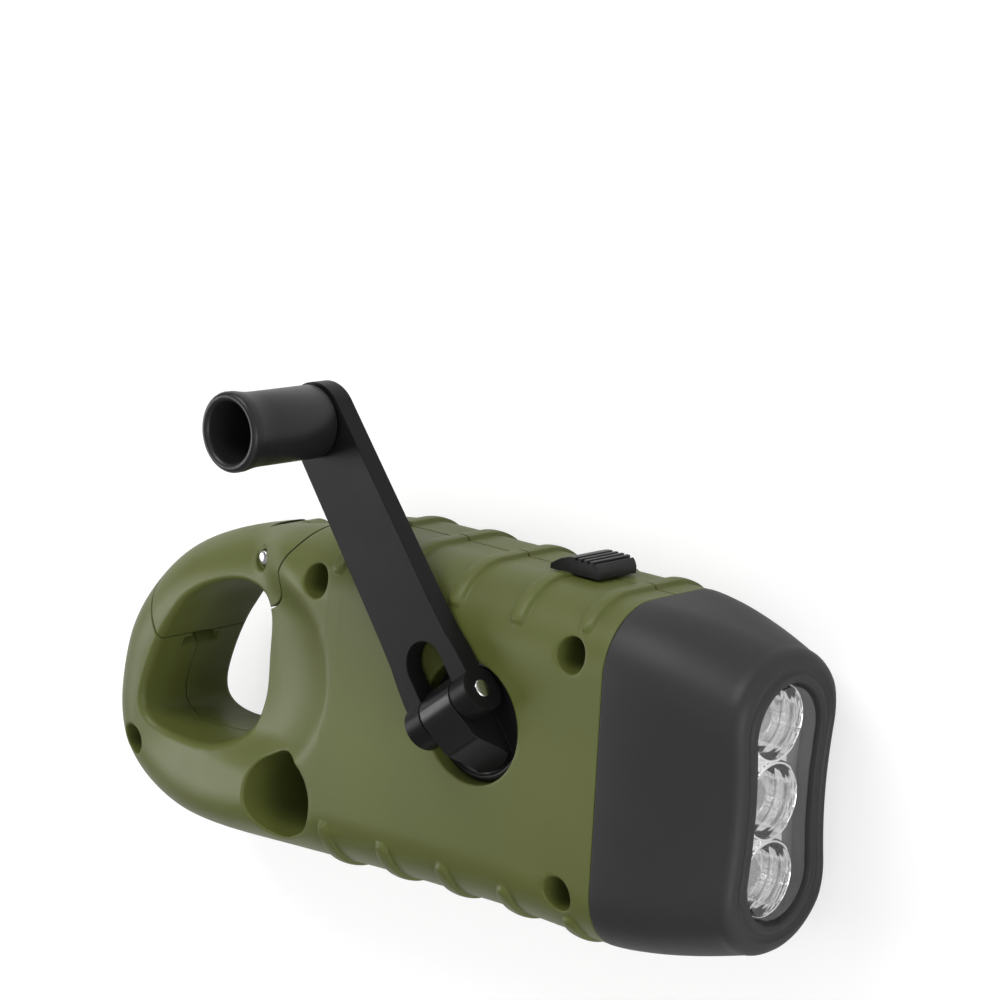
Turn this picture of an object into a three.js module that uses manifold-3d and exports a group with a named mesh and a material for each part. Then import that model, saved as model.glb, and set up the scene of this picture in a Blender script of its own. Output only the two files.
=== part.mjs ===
// Hand crank flashlight, millimetres, +Z up.
// It lies on its flat back face. +X points to the lamps, +Y to the switch, +Z out of the crank face.
// The origin is on the back face, on the body's centre line, level with the crank axis.
import * as THREE from 'three';
import { mergeVertices } from 'three/addons/utils/BufferGeometryUtils.js';
import Module from 'manifold-3d';

const wasm = await Module();
wasm.setup();

// Body
const THICKNESS = 29;
const HALF_WIDTH = 24.6;
const REAR_REACH = 87;
const FRONT_SEAM = 23.5;
const EDGE_RADIUS = 9.5;
const WALL = 2;
const GAP = 0.3;
const OVERRUN = 5;
const OUTLINE_STEPS = 52;
const EDGE_STEPS = 3;
const QUARTER_TURN_DEG = 90;
const FACE_STEPS = 9;
const ROUND_STEPS = 16;

// Loop and gate
const LOOP_DROP = 5;
const SLOPE_EDGE_Y = 2;
const SLOPE_EDGE_BEND = 28.6;
const GATE_PIN_RADIUS = 1.1;
const GATE_PIN_INSET = 0.8;
const GATE_PIN_MOUTH_RADIUS = 2;
const GATE_PIN_MOUTH_DEPTH = 1.6;
const GATE_HEEL_RADIUS = 7.5;
const GATE_LUG_WIDTH = 7;
const GATE_LUG_RADIUS = 4.6;
const TONGUE_LENGTH = 2.2;
const TONGUE_NECK = 4;
const TONGUE_HEAD = 7;
const TONGUE_HEAD_LENGTH = 1.1;
const SPRING_RADIUS = 2.1;
const SPRING_WIRE = 0.35;
const SPRING_HEIGHT = 3;
const SPRING_TURNS = 3;
const SPRING_TURN_STEPS = 8;

// Ribs on the two flanks
const RIB_COUNT = 5;
const RIB_FIRST_X = -28.5;
const RIB_PITCH = 11.8;
const RIB_WIDTH = 2.6;
const RIB_HEIGHT = 0.7;
const RIB_START_Y = 18.8;

// Screws
const SCREW_FRONT_X = 17.5;
const SCREW_EDGE_DISTANCE = 7.7;
const SCREW_HOLE_RADIUS = 2.5;
const SCREW_HEAD_RADIUS = 2.2;
const SCREW_HEAD_HEIGHT = 1.8;
const SCREW_SHANK_RADIUS = 1.2;
const SCREW_LENGTH = 9;
const SCREW_SEAT_HEIGHT = 4;
const BOSS_RADIUS = 3.6;

// Crank
const HUB_Y = 3.4;
const RECESS_RADIUS = 8.9;
const HUB_RADIUS = 8.5;
const HUB_SINK = 1.7;
const HUB_THICKNESS = 1.6;
const RECESS_FLOOR = 1.6;
const SHAFT_RADIUS = 3;
const HINGE_OFFSET = 2.5;
const KNUCKLE_RADIUS = 3.3;
const KNUCKLE_CLEARANCE = 0.35;
const LUG_WIDTH = 6.6;
const FORK_WIDTH = 13.8;
const HINGE_PIN_RADIUS = 1;
const HINGE_PIN_PROUD = 0.3;
const ARM_DIRECTION_DEG = 128;
const ARM_REACH = 46;
const ARM_THICKNESS = 3;
const ARM_LIFT = 0.6;
const ARM_END_RADIUS = 5.6;
const ARM_SLOT_LENGTH = 7;
const KNOB_RADIUS = 5.3;
const KNOB_RIM_RADIUS = 5.75;
const KNOB_LENGTH = 16.2;
const KNOB_BORE_RADIUS = 4.3;
const KNOB_BASE = 2;
const KNOB_RIM_HEIGHT = 1.6;
const POST_RADIUS = 2.2;
const KNOB_SCREW_HEAD_RADIUS = 3.2;
const KNOB_SCREW_HEAD_HEIGHT = 1.3;
const KNOB_SCREW_SHANK_RADIUS = 0.9;
const POCKET_RADIUS = 6.3;
const POCKET_SWING_ROOM = 2.8;
const POCKET_WALL = 1.2;
const POCKET_DROP = 20.6;

// Switch
const SWITCH_X = 4;
const SWITCH_LENGTH = 9;
const SWITCH_WIDTH = 8;
const SWITCH_HEIGHT = 2.4;
const SWITCH_TRAVEL = 3.5;
const SWITCH_STEM = 2;
const SWITCH_STEM_WIDTH = 3;
const SWITCH_GROOVES = 4;
const SWITCH_GROOVE = 0.5;
const SWITCH_BODY_DEPTH = 4.4;
const SWITCH_BODY_WIDTH = 7.6;

// Head and lamps
const HEAD_LENGTH = 21;
const HEAD_WALL = 1.6;
const HEAD_FRONT_HALF_Y = 21.3;
const HEAD_FRONT_HALF_Z = 12;
const HEAD_FRONT_RADIUS = 11.6;
const HEAD_TAPER_POWER = 1.6;
const HEAD_WAIST = 1.7;
const WAIST_SHARE = 0.6; // of the half height, where the waist has its full depth
const HEAD_LIP_RADIUS = 2;
const HEAD_FRONT_WALL = 4;
const SPIGOT_LENGTH = 5.5;
const SPIGOT_WALL = 1.4;
const SPIGOT_TAPER = 0.8;
const LENS_HALF_LENGTH = 16.4;
const LENS_HALF_WIDTH = 6.4;
const LENS_WAIST = 0.7;
const LENS_THICKNESS = 1.2;
const LENS_SINK = 0.6;
const LAMP_COUNT = 3;
const LAMP_PITCH = 11;
const CUP_RADIUS = 5.2;
const CUP_THROAT_RADIUS = 2.8;
const REFLECTOR_DEPTH = 8.2;
const REFLECTOR_FLANGE = 1.3;
const LED_RADIUS = 2.5;
const LED_FLANGE_RADIUS = 2.9;
const LED_FLANGE = 0.8;
const LED_LENGTH = 7.4;
const BOARD_THICKNESS = 1.2;
const LED_BOARD_HALF_Y = 17;
const LED_BOARD_HALF_Z = 8.5;

// Gear train and dynamo
const MAIN_TEETH = 45;
const MAIN_MODULE = 0.7;
const FIRST_PINION_TEETH = 12;
const FIRST_WHEEL_TEETH = 36;
const FIRST_MODULE = 0.6;
const SECOND_PINION_TEETH = 10;
const SECOND_WHEEL_TEETH = 34;
const SECOND_MODULE = 0.5;
const ROTOR_PINION_TEETH = 10;
const FIRST_DIRECTION_DEG = 180;
const SECOND_DIRECTION_DEG = -75;
const ROTOR_DIRECTION_DEG = 5;
const GEAR_HEIGHT = 2.4;
const LAYER_GAP = 0.6;
const MAIN_HUB_RADIUS = 4.6;
const AXLE_RADIUS = 1;
const AXLE_BOSS_RADIUS = 2.5;
const RUNNING_CLEARANCE = 0.2;
const PLATE_THICKNESS = 1.6;
const PLATE_POST_RADIUS = 1.8;
const PLATE_SCREW_RADIUS = 0.8;
const PLATE_SCREW_HEAD_RADIUS = 1.7;
const PLATE_SCREW_HEAD_HEIGHT = 1;
const ROTOR_SHAFT_RADIUS = 0.75;
const MAGNET_RADIUS = 6.4;
const MAGNET_LENGTH = 6;
const COIL_INNER_RADIUS = 7;
const COIL_OUTER_RADIUS = 9.2;
const CAN_RADIUS = 10.2;
const CAN_WALL = 0.6;

// Cells and main board
const CELL_RADIUS = 7.4;
const CELL_COUNT = 3;
const CELL_LENGTH = 5.8;
const CELL_X = 22.6;
const CELL_WRAP = 0.3;
const MAIN_BOARD_LENGTH = 15.4;
const BOARD_BOSS_CLEARANCE = 1;
const BOARD_FLANK_DISTANCE = 5;
const MAIN_BOARD_HEIGHT = 16.6;
const WIRE_RADIUS = 0.5;
const WIRE_STEPS = 10;

// Places in plan as shares of the rear reach and of the half width, and lengths as shares of the rear reach
const GATE_PIN_SHARES = [-0.5724, 0.6626];
const SCREW_REAR_SHARES = [-0.3736, 0.6911];
const SCREW_LOOP_SHARES = [-0.9034, -0.7805];
const GATE_REACH_SHARE = 0.3276;
const SLOPE_START_SHARE = 0.3333;
const SLOPE_LENGTH_SHARE = 0.207;

// Places worked out from the sizes
const MIDDLE = THICKNESS / 2;
const GATE_PIN_X = GATE_PIN_SHARES[0] * REAR_REACH;
const GATE_PIN_Y = GATE_PIN_SHARES[1] * HALF_WIDTH;
const GATE_REACH = GATE_REACH_SHARE * REAR_REACH;
const SLOPE_START_X = -SLOPE_START_SHARE * REAR_REACH;
const SLOPE_LENGTH = SLOPE_LENGTH_SHARE * REAR_REACH;
const SCREW_FRONT_Y = HALF_WIDTH - SCREW_EDGE_DISTANCE;
const MAIN_BOARD_X = SCREW_FRONT_X - BOSS_RADIUS - BOARD_BOSS_CLEARANCE - MAIN_BOARD_LENGTH;
const MAIN_BOARD_Y = HALF_WIDTH - SWITCH_BODY_DEPTH - BOARD_FLANK_DISTANCE;
const HEAD_FRONT = FRONT_SEAM + HEAD_LENGTH;
const DISC_TOP = THICKNESS - HUB_SINK;
const HINGE_Z = DISC_TOP + KNUCKLE_RADIUS + KNUCKLE_CLEARANCE;
const ARM_BOTTOM = THICKNESS + ARM_LIFT;
const ARM_TOP = ARM_BOTTOM + ARM_THICKNESS;
const FOLDED_REACH = ARM_REACH - HINGE_OFFSET;
const POCKET_Y = HUB_Y - POCKET_DROP;
const POCKET_X = -Math.sqrt(FOLDED_REACH ** 2 - POCKET_DROP ** 2);
const FOLDED_ARM_BOTTOM = 2 * HINGE_Z - ARM_TOP;
const POCKET_FLOOR = FOLDED_ARM_BOTTOM - KNOB_LENGTH - 3 * GAP;
const RECESS_BOTTOM = DISC_TOP - HUB_THICKNESS - GAP;
const MAIN_TOP = RECESS_BOTTOM - RECESS_FLOOR - LAYER_GAP;
const FIRST_TOP = MAIN_TOP - GEAR_HEIGHT - LAYER_GAP;
const SECOND_TOP = FIRST_TOP - GEAR_HEIGHT - LAYER_GAP;
const PLATE_TOP = SECOND_TOP - GEAR_HEIGHT - LAYER_GAP;
const PLATE_BOTTOM = PLATE_TOP - PLATE_THICKNESS;
const SCREW_PLACES = [
  ['rear', SCREW_REAR_SHARES[0] * REAR_REACH, SCREW_REAR_SHARES[1] * HALF_WIDTH],
  ['front_upper', SCREW_FRONT_X, SCREW_FRONT_Y],
  ['front_lower', SCREW_FRONT_X, -SCREW_FRONT_Y],
  ['loop', SCREW_LOOP_SHARES[0] * REAR_REACH, SCREW_LOOP_SHARES[1] * HALF_WIDTH],
];
const LENS_BACK = HEAD_FRONT - LENS_SINK - LENS_THICKNESS;
const REFLECTOR_FRONT = LENS_BACK - GAP;
const REFLECTOR_BACK = REFLECTOR_FRONT - REFLECTOR_DEPTH;
const FLANGE_FRONT = HEAD_FRONT - HEAD_FRONT_WALL - GAP;
const LED_BOARD_FRONT = REFLECTOR_BACK - LED_FLANGE - GAP;

// Outline of the body seen from the crank side, as shares of the rear reach and of the half width
const OUTLINE_SHARES = [
  [-0.345, 0.99], [-0.506, 0.905], [-0.678, 0.772], [-0.816, 0.577], [-0.908, 0.309],
  [-0.971, -0.02], [-0.998, -0.407], [-0.996, -0.711], [-0.966, -0.955], [-0.902, -1.106],
  [-0.782, -1.175], [-0.632, -1.167], [-0.437, -1.114], [-0.207, -1.049], [0.034, -1],
];
// Outline of the hole in the loop, in the same shares
const HOLE_SHARES = [
  [-0.805, 0.094], [-0.833, -0.06], [-0.86, -0.264], [-0.876, -0.467], [-0.862, -0.585],
  [-0.808, -0.64], [-0.718, -0.63], [-0.638, -0.565], [-0.58, -0.43], [-0.549, -0.2],
  [-0.543, 0.08], [-0.5425, 0.33], [-0.566, 0.46], [-0.625, 0.485], [-0.701, 0.407], [-0.762, 0.276],
];
// Corners of the gate plan that lie in the hole of the loop, and those past its heel, in the same shares
const GATE_THROAT_SHARES = [[-0.66, 0.16], [-0.59, 0.3]];
const GATE_BACK_SHARES = [[-0.452, 0.86], [-0.43, 1.02], [-0.42, 1.3], [-0.98, 1.3]];
// Outline of the gear plate, in the same shares
const PLATE_SHARES = [
  [-0.425, 0.24], [-0.425, -0.04], [-0.207, -0.86], [0.03, -0.89], [0.15, -0.77],
  [0.15, -0.49], [0.08, 0.33], [-0.16, 0.87], [-0.24, 0.87],
];
const POST_SHARES = [[-0.395, 0.12], [0.115, -0.65], [-0.2, 0.79]];
// Side of the thumb slider, as shares of its length and height
const SLIDER_SHARES = [[0, 0], [1, 0], [1, 0.45], [0.93, 0.85], [0.82, 1], [0.45, 1], [0.2, 0.75], [0, 0.3]];
const GROOVE_START_SHARE = 0.5;
const GROOVE_PITCH_SHARE = 0.12;
// Cross recess of a screw, as shares of its head radius: half length, half width and depth
const CROSS_SHARES = [0.55, 0.13, 0.3];
// Where the arm is parallel and where it has started to taper, as shares of its reach
const ARM_TAPER_SHARES = [0.14, 0.3];
// Stations of the head, and of its rounded front lip as [share of the length, share of the lip radius]
const HEAD_STATION_SHARES = [0, 0.25, 0.5, 0.75, 0.9];
const HEAD_LIP_SHARES = [[0.93, 0], [0.97, 0.3], [1, 1]];
// Gear tooth as shares of the module and of the tooth pitch
const ADDENDUM_SHARE = 0.85;
const DEDENDUM_SHARE = 1.15;
const TOOTH_TIP_SHARE = 0.1;
const TOOTH_ROOT_SHARE = 0.3;

const rad = THREE.MathUtils.degToRad;

function solid(geometry) {
  geometry.deleteAttribute('normal');
  geometry.deleteAttribute('uv');
  const merged = mergeVertices(geometry, 1e-4);
  const corners = merged.index.array;
  const faces = [];
  for (let i = 0; i < corners.length; i += 3) {
    const [a, b, c] = corners.subarray(i, i + 3);
    if (a !== b && b !== c && c !== a) {
      faces.push(a, b, c);
    }
  }
  return new wasm.Manifold(new wasm.Mesh({
    numProp: 3,
    vertProperties: new Float32Array(merged.attributes.position.array),
    triVerts: new Uint32Array(faces),
  }));
}

function join(first, ...others) {
  return others.reduce((sum, next) => sum.add(next), first);
}

function cut(first, ...others) {
  return others.reduce((rest, next) => rest.subtract(next), first);
}

// A box between two corners
function block(x0, x1, y0, y1, z0, z1) {
  const geometry = new THREE.BoxGeometry(x1 - x0, y1 - y0, z1 - z0);
  geometry.translate((x0 + x1) / 2, (y0 + y1) / 2, (z0 + z1) / 2);
  return solid(geometry);
}

// An upright round bar or cone
function rod(x, y, z0, z1, radius, topRadius = radius, steps = ROUND_STEPS) {
  const geometry = new THREE.CylinderGeometry(topRadius, radius, z1 - z0, steps);
  geometry.rotateX(Math.PI / 2);
  geometry.translate(x, y, (z0 + z1) / 2);
  return solid(geometry);
}

// A solid of revolution about an upright axis, from [radius, height] points on the axis or closed
function turned(x, y, profile, steps = ROUND_STEPS) {
  const geometry = new THREE.LatheGeometry(profile.map(([r, h]) => new THREE.Vector2(r, h)), steps);
  geometry.rotateX(Math.PI / 2);
  geometry.translate(x, y, 0);
  return solid(geometry);
}

// An upright column over a plan outline
function column(points, z0, z1) {
  const shape = new THREE.Shape(points);
  const geometry = new THREE.ExtrudeGeometry(shape, { depth: z1 - z0, bevelEnabled: false });
  geometry.translate(0, 0, z0);
  return solid(geometry);
}

// The same outline moved outwards by a distance, each corner along its bisector
function grown(points, distance) {
  const sign = THREE.ShapeUtils.isClockWise(points) ? -1 : 1;
  return points.map((point, i) => {
    const before = points[(i + points.length - 1) % points.length];
    const after = points[(i + 1) % points.length];
    const one = new THREE.Vector2().subVectors(point, before).normalize();
    const two = new THREE.Vector2().subVectors(after, point).normalize();
    const normal = new THREE.Vector2(one.y + two.y, -one.x - two.x).normalize();
    const spread = Math.max(normal.dot(new THREE.Vector2(one.y, -one.x)), 0.5);
    return point.clone().addScaledVector(normal, sign * distance / spread);
  });
}

function placed(shares) {
  return shares.map(([x, y]) => new THREE.Vector2(x * REAR_REACH, y * HALF_WIDTH));
}

function arcPoints(x, y, radius, from, to, steps) {
  return Array.from({ length: steps + 1 }, (_, i) => {
    const angle = rad(from + (to - from) * i / steps);
    return new THREE.Vector2(x + radius * Math.cos(angle), y + radius * Math.sin(angle));
  });
}

// Body outline with straight flanks that run on past the lamps, so that a box can end it anywhere
const bodyOutline = (() => {
  const far = HEAD_FRONT + REAR_REACH / 4;
  const curve = new THREE.SplineCurve([
    new THREE.Vector2(-REAR_REACH / 6, HALF_WIDTH),
    ...placed(OUTLINE_SHARES),
  ]);
  return [
    new THREE.Vector2(far, HALF_WIDTH),
    ...curve.getSpacedPoints(OUTLINE_STEPS),
    new THREE.Vector2(far, -HALF_WIDTH),
  ];
})();

const holeOutline = (() => {
  const points = placed(HOLE_SHARES);
  const curve = new THREE.SplineCurve([...points, points[0]]);
  return curve.getSpacedPoints(OUTLINE_STEPS / 2).slice(0, -1);
})();

// Plan of the gate: its end face and its heel are arcs about the gate pin
const gateOutline = [
  ...arcPoints(GATE_PIN_X, GATE_PIN_Y, GATE_REACH, 188, 222, 8),
  ...placed(GATE_THROAT_SHARES),
  ...arcPoints(GATE_PIN_X, GATE_PIN_Y, GATE_HEEL_RADIUS, -82, 0, 10),
  ...placed(GATE_BACK_SHARES),
];

// How far the sloping zone around the loop lies below the face, at a place in plan
function dropAt(point) {
  const edge = SLOPE_START_X - (point.y - SLOPE_EDGE_Y) ** 2 / SLOPE_EDGE_BEND;
  return LOOP_DROP * THREE.MathUtils.smoothstep(edge - point.x, 0, SLOPE_LENGTH);
}

// One point of the body's rounded edge at an outline point, moved in by an inset: the turn is 0 at the
// flank and 90 at the face, and the side is 1 for the crank face and -1 for the back face
function edgePoint(i, turn, side, inset) {
  const before = bodyOutline[Math.max(i - 1, 0)];
  const after = bodyOutline[Math.min(i + 1, bodyOutline.length - 1)];
  const way = new THREE.Vector2().subVectors(after, before).normalize();
  const radius = EDGE_RADIUS - inset;
  const inwards = inset + radius * (1 - Math.cos(rad(turn)));
  const point = new THREE.Vector2(-way.y, way.x).multiplyScalar(inwards).add(bodyOutline[i]);
  const straight = MIDDLE - EDGE_RADIUS - dropAt(point);
  return new THREE.Vector3(point.x, point.y, MIDDLE + side * (straight + radius * Math.sin(rad(turn))));
}

// Points across one face between two opposite edge points, without the two ends
function facePoints(from, to, side, inset) {
  return Array.from({ length: FACE_STEPS - 1 }, (_, i) => {
    const point = from.clone().lerp(to, (i + 1) / FACE_STEPS);
    point.z = MIDDLE + side * (MIDDLE - inset - dropAt(point));
    return point;
  });
}

// The whole body moved in by an inset: flat faces, rounded flanks and the sloping zone around the loop
function bodyForm(inset) {
  const last = bodyOutline.length - 1;
  const turns = Array.from({ length: EDGE_STEPS + 1 }, (_, i) => QUARTER_TURN_DEG * i / EDGE_STEPS);
  const sections = [];
  for (let i = 0; i <= last / 2; i += 1) {
    const near = (side) => turns.map((turn) => edgePoint(i, turn, side, inset));
    const far = (side) => turns.map((turn) => edgePoint(last - i, turn, side, inset));
    const across = (side) => (
      facePoints(edgePoint(i, 90, side, inset), edgePoint(last - i, 90, side, inset), side, inset)
    );
    sections.push([
      ...near(-1).reverse(), ...near(1), ...across(1),
      ...far(1).reverse(), ...far(-1), ...across(-1).reverse(),
    ]);
  }
  return skinned(sections, [true, false]);
}

function outerBody() {
  const behind = block(-2 * REAR_REACH, FRONT_SEAM, -2 * HALF_WIDTH, 2 * HALF_WIDTH, -OVERRUN, 2 * THICKNESS);
  const neck = block(FRONT_SEAM - WALL, FRONT_SEAM + SPIGOT_LENGTH, -HALF_WIDTH, HALF_WIDTH, 0, THICKNESS);
  return join(bodyForm(0).intersect(behind), bodyForm(HEAD_WALL + SPIGOT_TAPER + GAP).intersect(neck));
}

function innerBody() {
  const wide = bodyForm(WALL)
    .intersect(block(-2 * REAR_REACH, FRONT_SEAM - WALL, -2 * HALF_WIDTH, 2 * HALF_WIDTH, 0, THICKNESS));
  const neck = bodyForm(HEAD_WALL + SPIGOT_TAPER + GAP + SPIGOT_WALL);
  const hole = column(grown(holeOutline, WALL), -OVERRUN, THICKNESS + OVERRUN);
  const gate = column(grown(gateOutline, WALL + GAP), -OVERRUN, THICKNESS + OVERRUN);
  return cut(join(wide, neck), hole, gate);
}

// Five rounded bands on each flank, one of them stopped short of the switch
function ribs() {
  const skin = bodyForm(-RIB_HEIGHT);
  const core = bodyForm(WALL / 2);
  const beside = SWITCH_WIDTH / 2 + 3 * GAP;
  const clear = block(SWITCH_X - RIB_WIDTH / 2, SWITCH_X + SWITCH_LENGTH + SWITCH_TRAVEL + GAP,
    0, 2 * HALF_WIDTH, MIDDLE - beside, MIDDLE + beside);
  const bands = Array.from({ length: RIB_COUNT }, (_, i) => {
    const x = RIB_FIRST_X + i * RIB_PITCH;
    return [1, -1].map((side) => {
      const near = Math.min(side * RIB_START_Y, side * 2 * HALF_WIDTH);
      const far = Math.max(side * RIB_START_Y, side * 2 * HALF_WIDTH);
      return block(x - RIB_WIDTH / 2, x + RIB_WIDTH / 2, near, far, GAP, THICKNESS + RIB_HEIGHT);
    });
  }).flat();
  return cut(join(...bands).intersect(skin), core, clear);
}

// The T shaped tongue on the end of the gate, or the notch that takes it
function tongue(clearance, from, to) {
  const bar = (inner, outer, width) => column([
    ...arcPoints(GATE_PIN_X, GATE_PIN_Y, inner, from, to, 5),
    ...arcPoints(GATE_PIN_X, GATE_PIN_Y, outer, to, from, 5),
  ], MIDDLE - width / 2 - clearance, MIDDLE + width / 2 + clearance);
  const end = GATE_REACH + TONGUE_LENGTH + clearance;
  return join(
    bar(GATE_REACH - WALL, end, TONGUE_NECK),
    bar(end - TONGUE_HEAD_LENGTH - 2 * clearance, end, TONGUE_HEAD),
  );
}

// Rounded rectangle across the flashlight, as [y, z] about the middle, with a waist
function crossSection(halfY, halfZ, radius, waist) {
  const points = [];
  const corners = [[1, 1], [-1, 1], [-1, -1], [1, -1]];
  corners.forEach(([sy, sz], quarter) => {
    const centre = [sy * (halfY - radius), sz * (halfZ - radius)];
    const start = quarter * QUARTER_TURN_DEG;
    points.push(...arcPoints(...centre, radius, start, start + QUARTER_TURN_DEG, EDGE_STEPS + 2));
    if (sy === sz) {
      [0.5, 0, -0.5].forEach((share) => {
        points.push(new THREE.Vector2(sy * (halfY - radius) * share, sz * halfZ));
      });
    }
  });
  return points.map((p) => {
    const pinch = waist * Math.max(0, Math.cos(Math.PI * p.x / (2 * (halfY - radius / 2))));
    const depth = pinch * Math.min(1, Math.abs(p.y) / (halfZ * WAIST_SHARE));
    return new THREE.Vector2(p.x, p.y - Math.sign(p.y) * depth);
  });
}

// A solid through closed cross sections of equally many points; each end is closed flat where asked
function skinned(sections, closed = [true, true]) {
  const count = sections[0].length;
  const position = sections.flat().flatMap((p) => p.toArray());
  const index = [];
  for (let s = 0; s + 1 < sections.length; s += 1) {
    for (let i = 0; i < count; i += 1) {
      const a = s * count + i;
      const b = s * count + (i + 1) % count;
      index.push(a, b, a + count, b, b + count, a + count);
    }
  }
  const flat = (section) => section.map((p) => new THREE.Vector2(p.y, p.z));
  if (closed[0]) {
    THREE.ShapeUtils.triangulateShape(flat(sections[0]), []).forEach(([a, b, c]) => index.push(a, c, b));
  }
  if (closed[1]) {
    const start = (sections.length - 1) * count;
    THREE.ShapeUtils.triangulateShape(flat(sections.at(-1)), [])
      .forEach(([a, b, c]) => index.push(start + a, start + b, start + c));
  }
  const geometry = new THREE.BufferGeometry();
  geometry.setAttribute('position', new THREE.Float32BufferAttribute(position, 3));
  geometry.setIndex(index);
  if (signedVolume(geometry) < 0) {
    for (let i = 0; i < index.length; i += 3) {
      [index[i], index[i + 1]] = [index[i + 1], index[i]];
    }
    geometry.setIndex(index);
  }
  return solid(geometry);
}

// A solid carried through [y, z] cross sections placed along X
function lofted(stations) {
  return skinned(stations.map(({ x, points }) => points.map((p) => new THREE.Vector3(x, p.x, MIDDLE + p.y))));
}

function signedVolume(geometry) {
  const p = geometry.attributes.position;
  const at = (i) => new THREE.Vector3().fromBufferAttribute(p, i);
  let sum = 0;
  for (let i = 0; i < geometry.index.count; i += 3) {
    const [a, b, c] = [0, 1, 2].map((k) => at(geometry.index.getX(i + k)));
    sum += a.dot(b.cross(c)) / 6;
  }
  return sum;
}

// Cross section of the head at a share of its length, moved in by an inset
function headSection(share, inset) {
  const ease = share ** HEAD_TAPER_POWER;
  const mix = (a, b, t) => a + (b - a) * t;
  return crossSection(
    mix(HALF_WIDTH, HEAD_FRONT_HALF_Y, ease) - inset,
    mix(MIDDLE, HEAD_FRONT_HALF_Z, ease) - inset,
    mix(EDGE_RADIUS, HEAD_FRONT_RADIUS, share) - inset,
    HEAD_WAIST * ease,
  );
}

// Waisted outline of the lamp window, as [y, z] about the middle
function windowOutline(grow) {
  const straight = LENS_HALF_LENGTH - LENS_HALF_WIDTH;
  const points = [
    ...arcPoints(straight, 0, LENS_HALF_WIDTH + grow, -90, 90, 10),
    ...[0.5, 0, -0.5].map((t) => new THREE.Vector2(t * straight, LENS_HALF_WIDTH + grow)),
    ...arcPoints(-straight, 0, LENS_HALF_WIDTH + grow, 90, 270, 10),
    ...[-0.5, 0, 0.5].map((t) => new THREE.Vector2(t * straight, -LENS_HALF_WIDTH - grow)),
  ];
  return points.map((p) => {
    const pinch = LENS_WAIST * Math.max(0, Math.cos(Math.PI * p.x / (2 * straight)));
    return new THREE.Vector2(p.x, p.y - Math.sign(p.y) * pinch);
  });
}

function windowPlug(x0, x1, grow) {
  const points = windowOutline(grow);
  return lofted([{ x: x0, points }, { x: x1, points }]);
}

// A straight cut gear with trapezium teeth, thinned for backlash
function gear(x, y, z0, z1, teeth, size, turnDeg) {
  const pitchRadius = teeth * size / 2;
  const tip = pitchRadius + ADDENDUM_SHARE * size;
  const root = pitchRadius - DEDENDUM_SHARE * size;
  const step = 360 / teeth;
  const points = [];
  for (let i = 0; i < teeth; i += 1) {
    const mid = turnDeg + i * step;
    [[root, -TOOTH_ROOT_SHARE], [tip, -TOOTH_TIP_SHARE], [tip, TOOTH_TIP_SHARE], [root, TOOTH_ROOT_SHARE]]
      .forEach(([radius, share]) => {
        const angle = rad(mid + share * step);
        points.push(new THREE.Vector2(x + radius * Math.cos(angle), y + radius * Math.sin(angle)));
      });
  }
  return column(points, z0, z1);
}

function along(angleDeg, distance, from) {
  return [from[0] + distance * Math.cos(rad(angleDeg)), from[1] + distance * Math.sin(rad(angleDeg))];
}

const HUB_PLACE = [0, HUB_Y];
const FIRST_DISTANCE = (MAIN_TEETH + FIRST_PINION_TEETH) * MAIN_MODULE / 2;
const SECOND_DISTANCE = (FIRST_WHEEL_TEETH + SECOND_PINION_TEETH) * FIRST_MODULE / 2;
const ROTOR_DISTANCE = (SECOND_WHEEL_TEETH + ROTOR_PINION_TEETH) * SECOND_MODULE / 2;
const FIRST_PLACE = along(FIRST_DIRECTION_DEG, FIRST_DISTANCE, HUB_PLACE);
const SECOND_PLACE = along(SECOND_DIRECTION_DEG, SECOND_DISTANCE, FIRST_PLACE);
const ROTOR_PLACE = along(ROTOR_DIRECTION_DEG, ROTOR_DISTANCE, SECOND_PLACE);

const outer = outerBody();
const inner = innerBody();
const allRibs = ribs();
const holeColumn = column(holeOutline, -OVERRUN, THICKNESS + OVERRUN);
const gateRoom = column(grown(gateOutline, GAP), -OVERRUN, THICKNESS + OVERRUN);
const notch = tongue(GAP, 202, 232);
const lugPlan = (() => {
  const points = arcPoints(GATE_PIN_X, GATE_PIN_Y, GATE_LUG_RADIUS, 75, 285, 12);
  const root = GATE_PIN_X + GATE_HEEL_RADIUS + WALL;
  points.push(new THREE.Vector2(root, GATE_PIN_Y - GATE_LUG_RADIUS));
  points.push(new THREE.Vector2(root, GATE_PIN_Y + GATE_LUG_RADIUS));
  return points;
})();

// One half of the lug that the gate turns on
function gateLug(z0, z1) {
  return column(lugPlan, z0, z1).intersect(outer);
}

function half(z0, z1) {
  return block(-2 * REAR_REACH, 2 * REAR_REACH, -2 * HALF_WIDTH, 2 * HALF_WIDTH, z0, z1);
}

// The switch slot through the upper flank
function switchSlot() {
  const x = SWITCH_X + SWITCH_STEM;
  return block(x - GAP, x + SWITCH_STEM + SWITCH_TRAVEL + GAP, HALF_WIDTH - 2 * WALL, HALF_WIDTH + WALL,
    MIDDLE - SWITCH_STEM_WIDTH / 2 - GAP, MIDDLE + SWITCH_STEM_WIDTH / 2 + GAP);
}

function shellBlank(z0, z1) {
  const skin = join(outer, allRibs).intersect(half(z0, z1));
  return cut(skin, inner, holeColumn, gateRoom, notch, switchSlot());
}

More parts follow.
